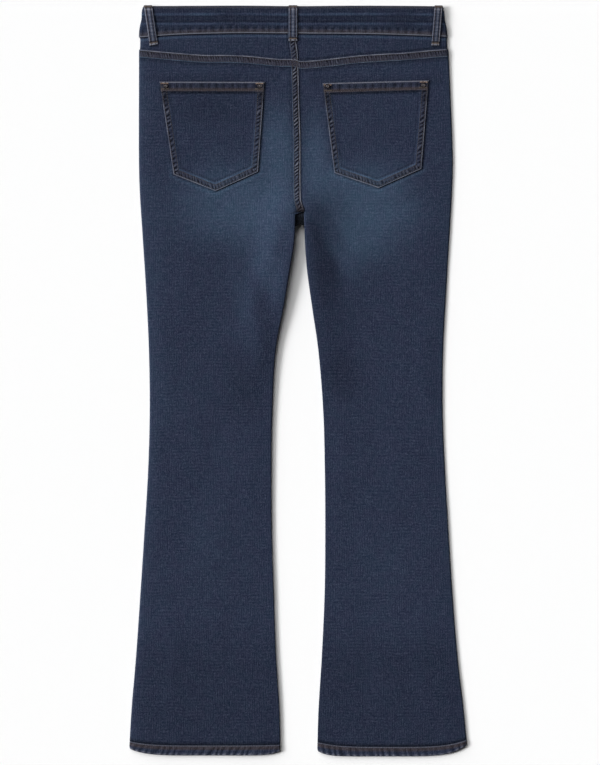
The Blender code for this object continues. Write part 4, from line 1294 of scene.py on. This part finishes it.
seat_rows = rows_of(1, FELL - SUNK, ((250, SEAT_TOP - 1), (SEAT_TOP + 3, 489)),
                    (FIRST_ROW, SEAT_BAND - SECOND_ROW), lambda y, offset: (lap_edge(y) - offset, y))
yoke_rows = rows_of(1, FELL - SUNK, ((-226, 0), (2, 216)), (2.0, YOKE_BAND - SECOND_ROW),
                    beside(YOKE_SEAM, -1))
band_rows = rows_of(1, WAISTBAND_PROUD - SUNK, ((-226, 213),), (WAISTBAND_ROW,), beside(WAIST_SEAM, 1))
band_rows += rows_of(1, WAISTBAND_PROUD - SUNK, ((-223, 210),), (WAISTBAND_ROW,), beside(WAIST_TOP, -1))
stitching = {
    "seat": sew("seat_stitches", seat_rows, topstitch_thread, 1),
    "yoke": sew("yoke_stitches", yoke_rows, topstitch_thread, 2),
    "waistband": sew("waistband_stitches", band_rows, topstitch_thread, 3),
    "hem": sew("hem_stitches", hem_rows(1, HEM_PROUD - 0.15), hem_thread, 4, pitch=3.6, length=3.2),
}


def on_pocket(x, y):
    """Points on the doubled border of a back pocket."""
    return np.stack([x, y, cloth_level(1, x, y) + GAP + POCKET_BORDER_WALL - 0.1], axis=1)


def unit(step):
    return step / np.linalg.norm(step)


def pocket_rows(side):
    """Two rows along a back pocket's sides and point, and one across its hem."""
    top_left, *around = [np.array(corner) for corner in POCKETS[side]]
    around.append(top_left)
    rows = []
    for inset in POCKET_ROWS:
        line = [around[0] + (-inset, 0) + 1.5 * unit(around[1] - around[0])]
        for before, corner, after in zip(around, around[1:], around[2:]):
            before = unit(before - corner)
            after = unit(after - corner)
            half = math.acos(before @ after) / 2
            line.append(corner + unit(before + after) * inset / math.sin(half))
        line.append(top_left + (inset, 0) + 1.5 * unit(around[3] - top_left))
        row = []
        for start, end in zip(line, line[1:]):
            steps = max(int(np.linalg.norm(end - start) / 2), 2)
            row += [start + (end - start) * k / steps for k in range(steps)]
        rows.append(np.array(row + line[-1:]))
    over = np.linspace(0.02, 0.98, 70)[:, None]
    rows.append(top_left + over * (around[0] - top_left) + (0, -POCKET_HEM_ROW))
    return [on_pocket(row[:, 0], row[:, 1]) for row in rows]


def fly_row(inset):
    """One row of the fly's curved stitching, from the waistband down to the centre seam."""
    turn = np.radians(np.linspace(0, 84, 24))
    straight = np.linspace(FLY_TOP, FLY_BEND, 40)
    reach = FLY_WIDTH - inset
    x = np.concatenate([np.full(straight.shape, -reach), -reach * np.cos(turn)]) + CENTRE_FRONT
    y = np.concatenate([straight, FLY_BEND - (FLY_DROP - inset) * np.sin(turn)])
    return points_on(-1, x, y, -FRONT_SUNK)


def opening_row(side, offset):
    """One row of stitching round the curve of a front pocket opening."""
    turn = np.radians(np.linspace(4, 86, 60))
    base = FRONT_ROW_TOP - (FRONT_ROW_TOP - SCOOP_BOTTOM + offset) * np.sin(turn)
    x = read(SIDES, base, side) - OUTWARDS[side] * (SCOOP_WIDTH + offset) * np.cos(turn)
    return points_on(-1, x, front_height(side, base, x), -FRONT_SUNK)


front_rows = [fly_row(0), fly_row(6)]
front_rows += rows_of(-1, -FRONT_SUNK, ((FRONT_CROTCH + 4, FLY_BEND - FLY_DROP - 2),), (-1.6, -7.6),
                      lambda y, offset: (CENTRE_FRONT + offset, y))
front_rows += [opening_row(side, offset) for side in OUTWARDS for offset in OPENING_ROWS]
for height, span, inset, sign in ((front_top, (-222, 212), WAISTBAND_ROW, -1),
                                  (front_seam, (-224, 213), 2.0, 1)):
    front_rows += rows_of(-1, FRONT_BAND_PROUD - FRONT_SUNK, [span], [inset], beside(height, sign))
front_rows += hem_rows(-1, -0.27)
stitching["front"] = sew("front_stitches", front_rows, topstitch_thread, 8, thickness=0.55)
for seed, side in ((5, "left"), (6, "right")):
    stitching[side] = sew("pocket_stitches_" + side, pocket_rows(side), topstitch_thread, seed)


# Rivets. Small pressed caps of aged brass with a raised rim and a point in the middle, at the upper
# corners of the back pockets.

TURNED_SIDES = 28
RIVETS = {
    "rivet_left_outer": (-190.8, 424.4), "rivet_left_inner": (-55.0, 424.4),
    "rivet_right_inner": (41.8, 424.0), "rivet_right_outer": (180.2, 425.6),
}
RIVET_PROFILE = ((0, 1.25), (0.45, 1.2), (0.75, 0.85), (1.4, 0.75), (2.0, 0.8), (2.35, 1.2), (2.7, 1.3),
                 (3.0, 1.15), (3.1, 0.8), (3.1, 0.1), (2.9, 0), (0, 0))


def metal_material(name, light, dark):
    material, place = new_material(name, Metallic=1.0)
    blotch = place.noise(900, 3, 0.6)
    rubbed = place.add("ShaderNodeAttribute", {"attribute_name": "rubbed"}, {}, 2)
    colour = (0.35 * blotch + 0.8 * rubbed).mix(dark, light)
    connect(colour, 0.38 + 0.25 * blotch, blotch, 0.00008)
    return material


rivet_brass = metal_material("rivet_brass", (0.160, 0.150, 0.165, 1), (0.034, 0.028, 0.027, 1))


def turned(name, profile, x, y, low, up=1):
    """Turn a profile of (radius, height) pairs, from the middle of the face to the middle of the foot."""
    angle = np.linspace(0, 2 * math.pi, TURNED_SIDES, endpoint=False)
    rings = [[(x + radius * math.cos(a), y + radius * math.sin(a), low + up * height)
              for a in (angle if radius else angle[:1])] for radius, height in profile]
    counts = [len(ring) for ring in rings]
    starts = np.cumsum([0] + counts).tolist()
    faces = []
    for a, b, n, m in zip(starts, starts[1:], counts, counts[1:]):
        for i in range(TURNED_SIDES):
            j = i + 1
            corners = dict.fromkeys((a + i % n, b + i % m, b + j % m, a + j % n))
            faces.append(list(corners)[::up])
    reach = max(radius for radius, _ in profile)
    rubbed = np.repeat([ramp(0.6, 0.25, radius / reach) for radius, _ in profile], counts)
    piece = finish_piece(name, "_cap", [point for ring in rings for point in ring], faces,
                         {"rubbed": rubbed}, rivet_brass, sharp=40)
    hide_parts(name)


for name, (x, y) in RIVETS.items():
    turned(name, RIVET_PROFILE, x, y, float(cloth_level(1, x, y)) + POCKET_BORDER_WALL + 2 * GAP - 0.2)


# Waist button. A plain metal button of the same aged brass, riveted to the left waistband end with
# its domed face against the table.

BUTTON_HEIGHT = 3.5
BUTTON_PROFILE = ((0, 3.0), (3.0, 2.95), (4.2, 2.7), (5.6, 2.6), (6.4, 3.0), (7.2, 3.45), (8.0, 3.4),
                  (8.5, 3.0), (8.5, 2.4), (7.6, 2.0), (3.2, 1.8), (3.0, 0.4), (3.6, 0.05), (0, 0))
turned("waist_button", BUTTON_PROFILE, CENTRE_FRONT + 1, FRONT_TOP - WAISTBAND_HEIGHT / 2, BUTTON_HEIGHT, -1)


# Bar tacks. Dense rows of short stitches across the strain points, in the brighter unfaded thread: the
# ends of the belt loops and the upper corners of the back pockets.

tack_thread = thread_material("tack_thread", (0.31, 0.235, 0.185, 1), (0.16, 0.105, 0.08, 1))
loop_tack_thread = thread_material("loop_tack_thread", (0.180, 0.145, 0.125, 1), (0.100, 0.072, 0.060, 1))
worn_tack_thread = thread_material("worn_tack_thread", (0.105, 0.086, 0.074, 1), (0.052, 0.040, 0.034, 1))


TACK_PITCH = 0.62
CORNER_SPAN = (1.5, 12.0)  # ends of a bar across a pocket's corner, in from its side
# Pairs of bars at a pocket's corners: name, distance below its upper edge, thread and seed
CORNER_BARS = (("pocket_tacks", 2.5, tack_thread, 10), ("pocket_low_tacks", 10.4, worn_tack_thread, 11))


def tack(name, bars, thread, seed, **size):
    return sew(name, bars, thread, seed, pitch=TACK_PITCH, turn=math.pi / 2, **size)


bars = []
for name, (layer, x_top, x_bottom, width, _, slope, over_seam, *_) in LOOPS.items():
    top, _, bottom = loop_ends(name)
    proud = WAISTBAND_PROUD if layer > 0 else FRONT_BAND_PROUD
    span = np.linspace(-width / 2 + 1, width / 2 - 1, 12)
    for y, x, rise, level in ((top - TOP_TACK, x_top, 0, proud),
                              (bottom + LOW_TACK, x_bottom, slope, over_seam)):
        bars.append(points_on(layer, x + span, y + rise * span, level + GAP + LOOP_WALL - 0.15))
loop_tacks = tack("loop_tacks", bars, loop_tack_thread, 9, length=2.1, thickness=0.6, unevenness=0.25)


def corner_tacks(name, down, thread, seed):
    """A bar of stitches across each upper corner of the back pockets, down from the pocket's edge."""
    bars = []
    for corners in POCKETS.values():
        for corner, inwards in ((corners[0], 1), (corners[1], -1)):
            span = np.linspace(*CORNER_SPAN, 12)
            x = corner[0] + inwards * (span + 0.14 * down)
            y = corner[1] - down + 0 * span
            bars.append(on_pocket(x, y))
    return tack(name, bars, thread, seed, length=2.4, thickness=0.75, unevenness=0.3)


pocket_tacks = [corner_tacks(*bar) for bar in CORNER_BARS]


# The cloth as it was cut. Each piece is paired with the name of its cut and with the narrow bands
# and the stitching that are sewn to it; nothing more is done with these pairs.


def declare(piece, cut, sewn_on=()):
    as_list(sewn_on)


# Bands and stitching that go with each side's back panel, yoke, back pocket and front panel
SEWN = {
    "left": ([bands["seat"], stitching["seat"], stitching["hem"]],
             [bands["left"], bands["yoke"], stitching["yoke"]],
             [stitching["left"]] + pocket_tacks, [stitching["front"]]),
    "right": ([], [bands["right"]], [stitching["right"]], []),
}
for side, (on_panel, on_yoke, on_pocket_side, on_front_panel) in SEWN.items():
    front = front_panels[side]
    declare(front, "front_panel_" + side, on_front_panel)
    declare(back_panels[side], "back_panel_" + side, on_panel)
    declare(yokes[side], "yoke_" + side, on_yoke)
    declare(pockets[side], "back_pocket_" + side, on_pocket_side)
    declare(facings[side], "pocket_facing_" + side)
    declare(front_waistbands[side], "waistband_front_" + side)
    declare(hems[side, -1], "hem_" + side)
    declare(hems[side, 1], "hem_" + side)
declare(back_waistband, "waistband_back", [stitching["waistband"]])
for name, loop in loops.items():
    if "back" in name:
        declare(loop, name, [loop_tacks] if "centre" in name else [])
    else:
        declare(loop, "belt_loop_front")
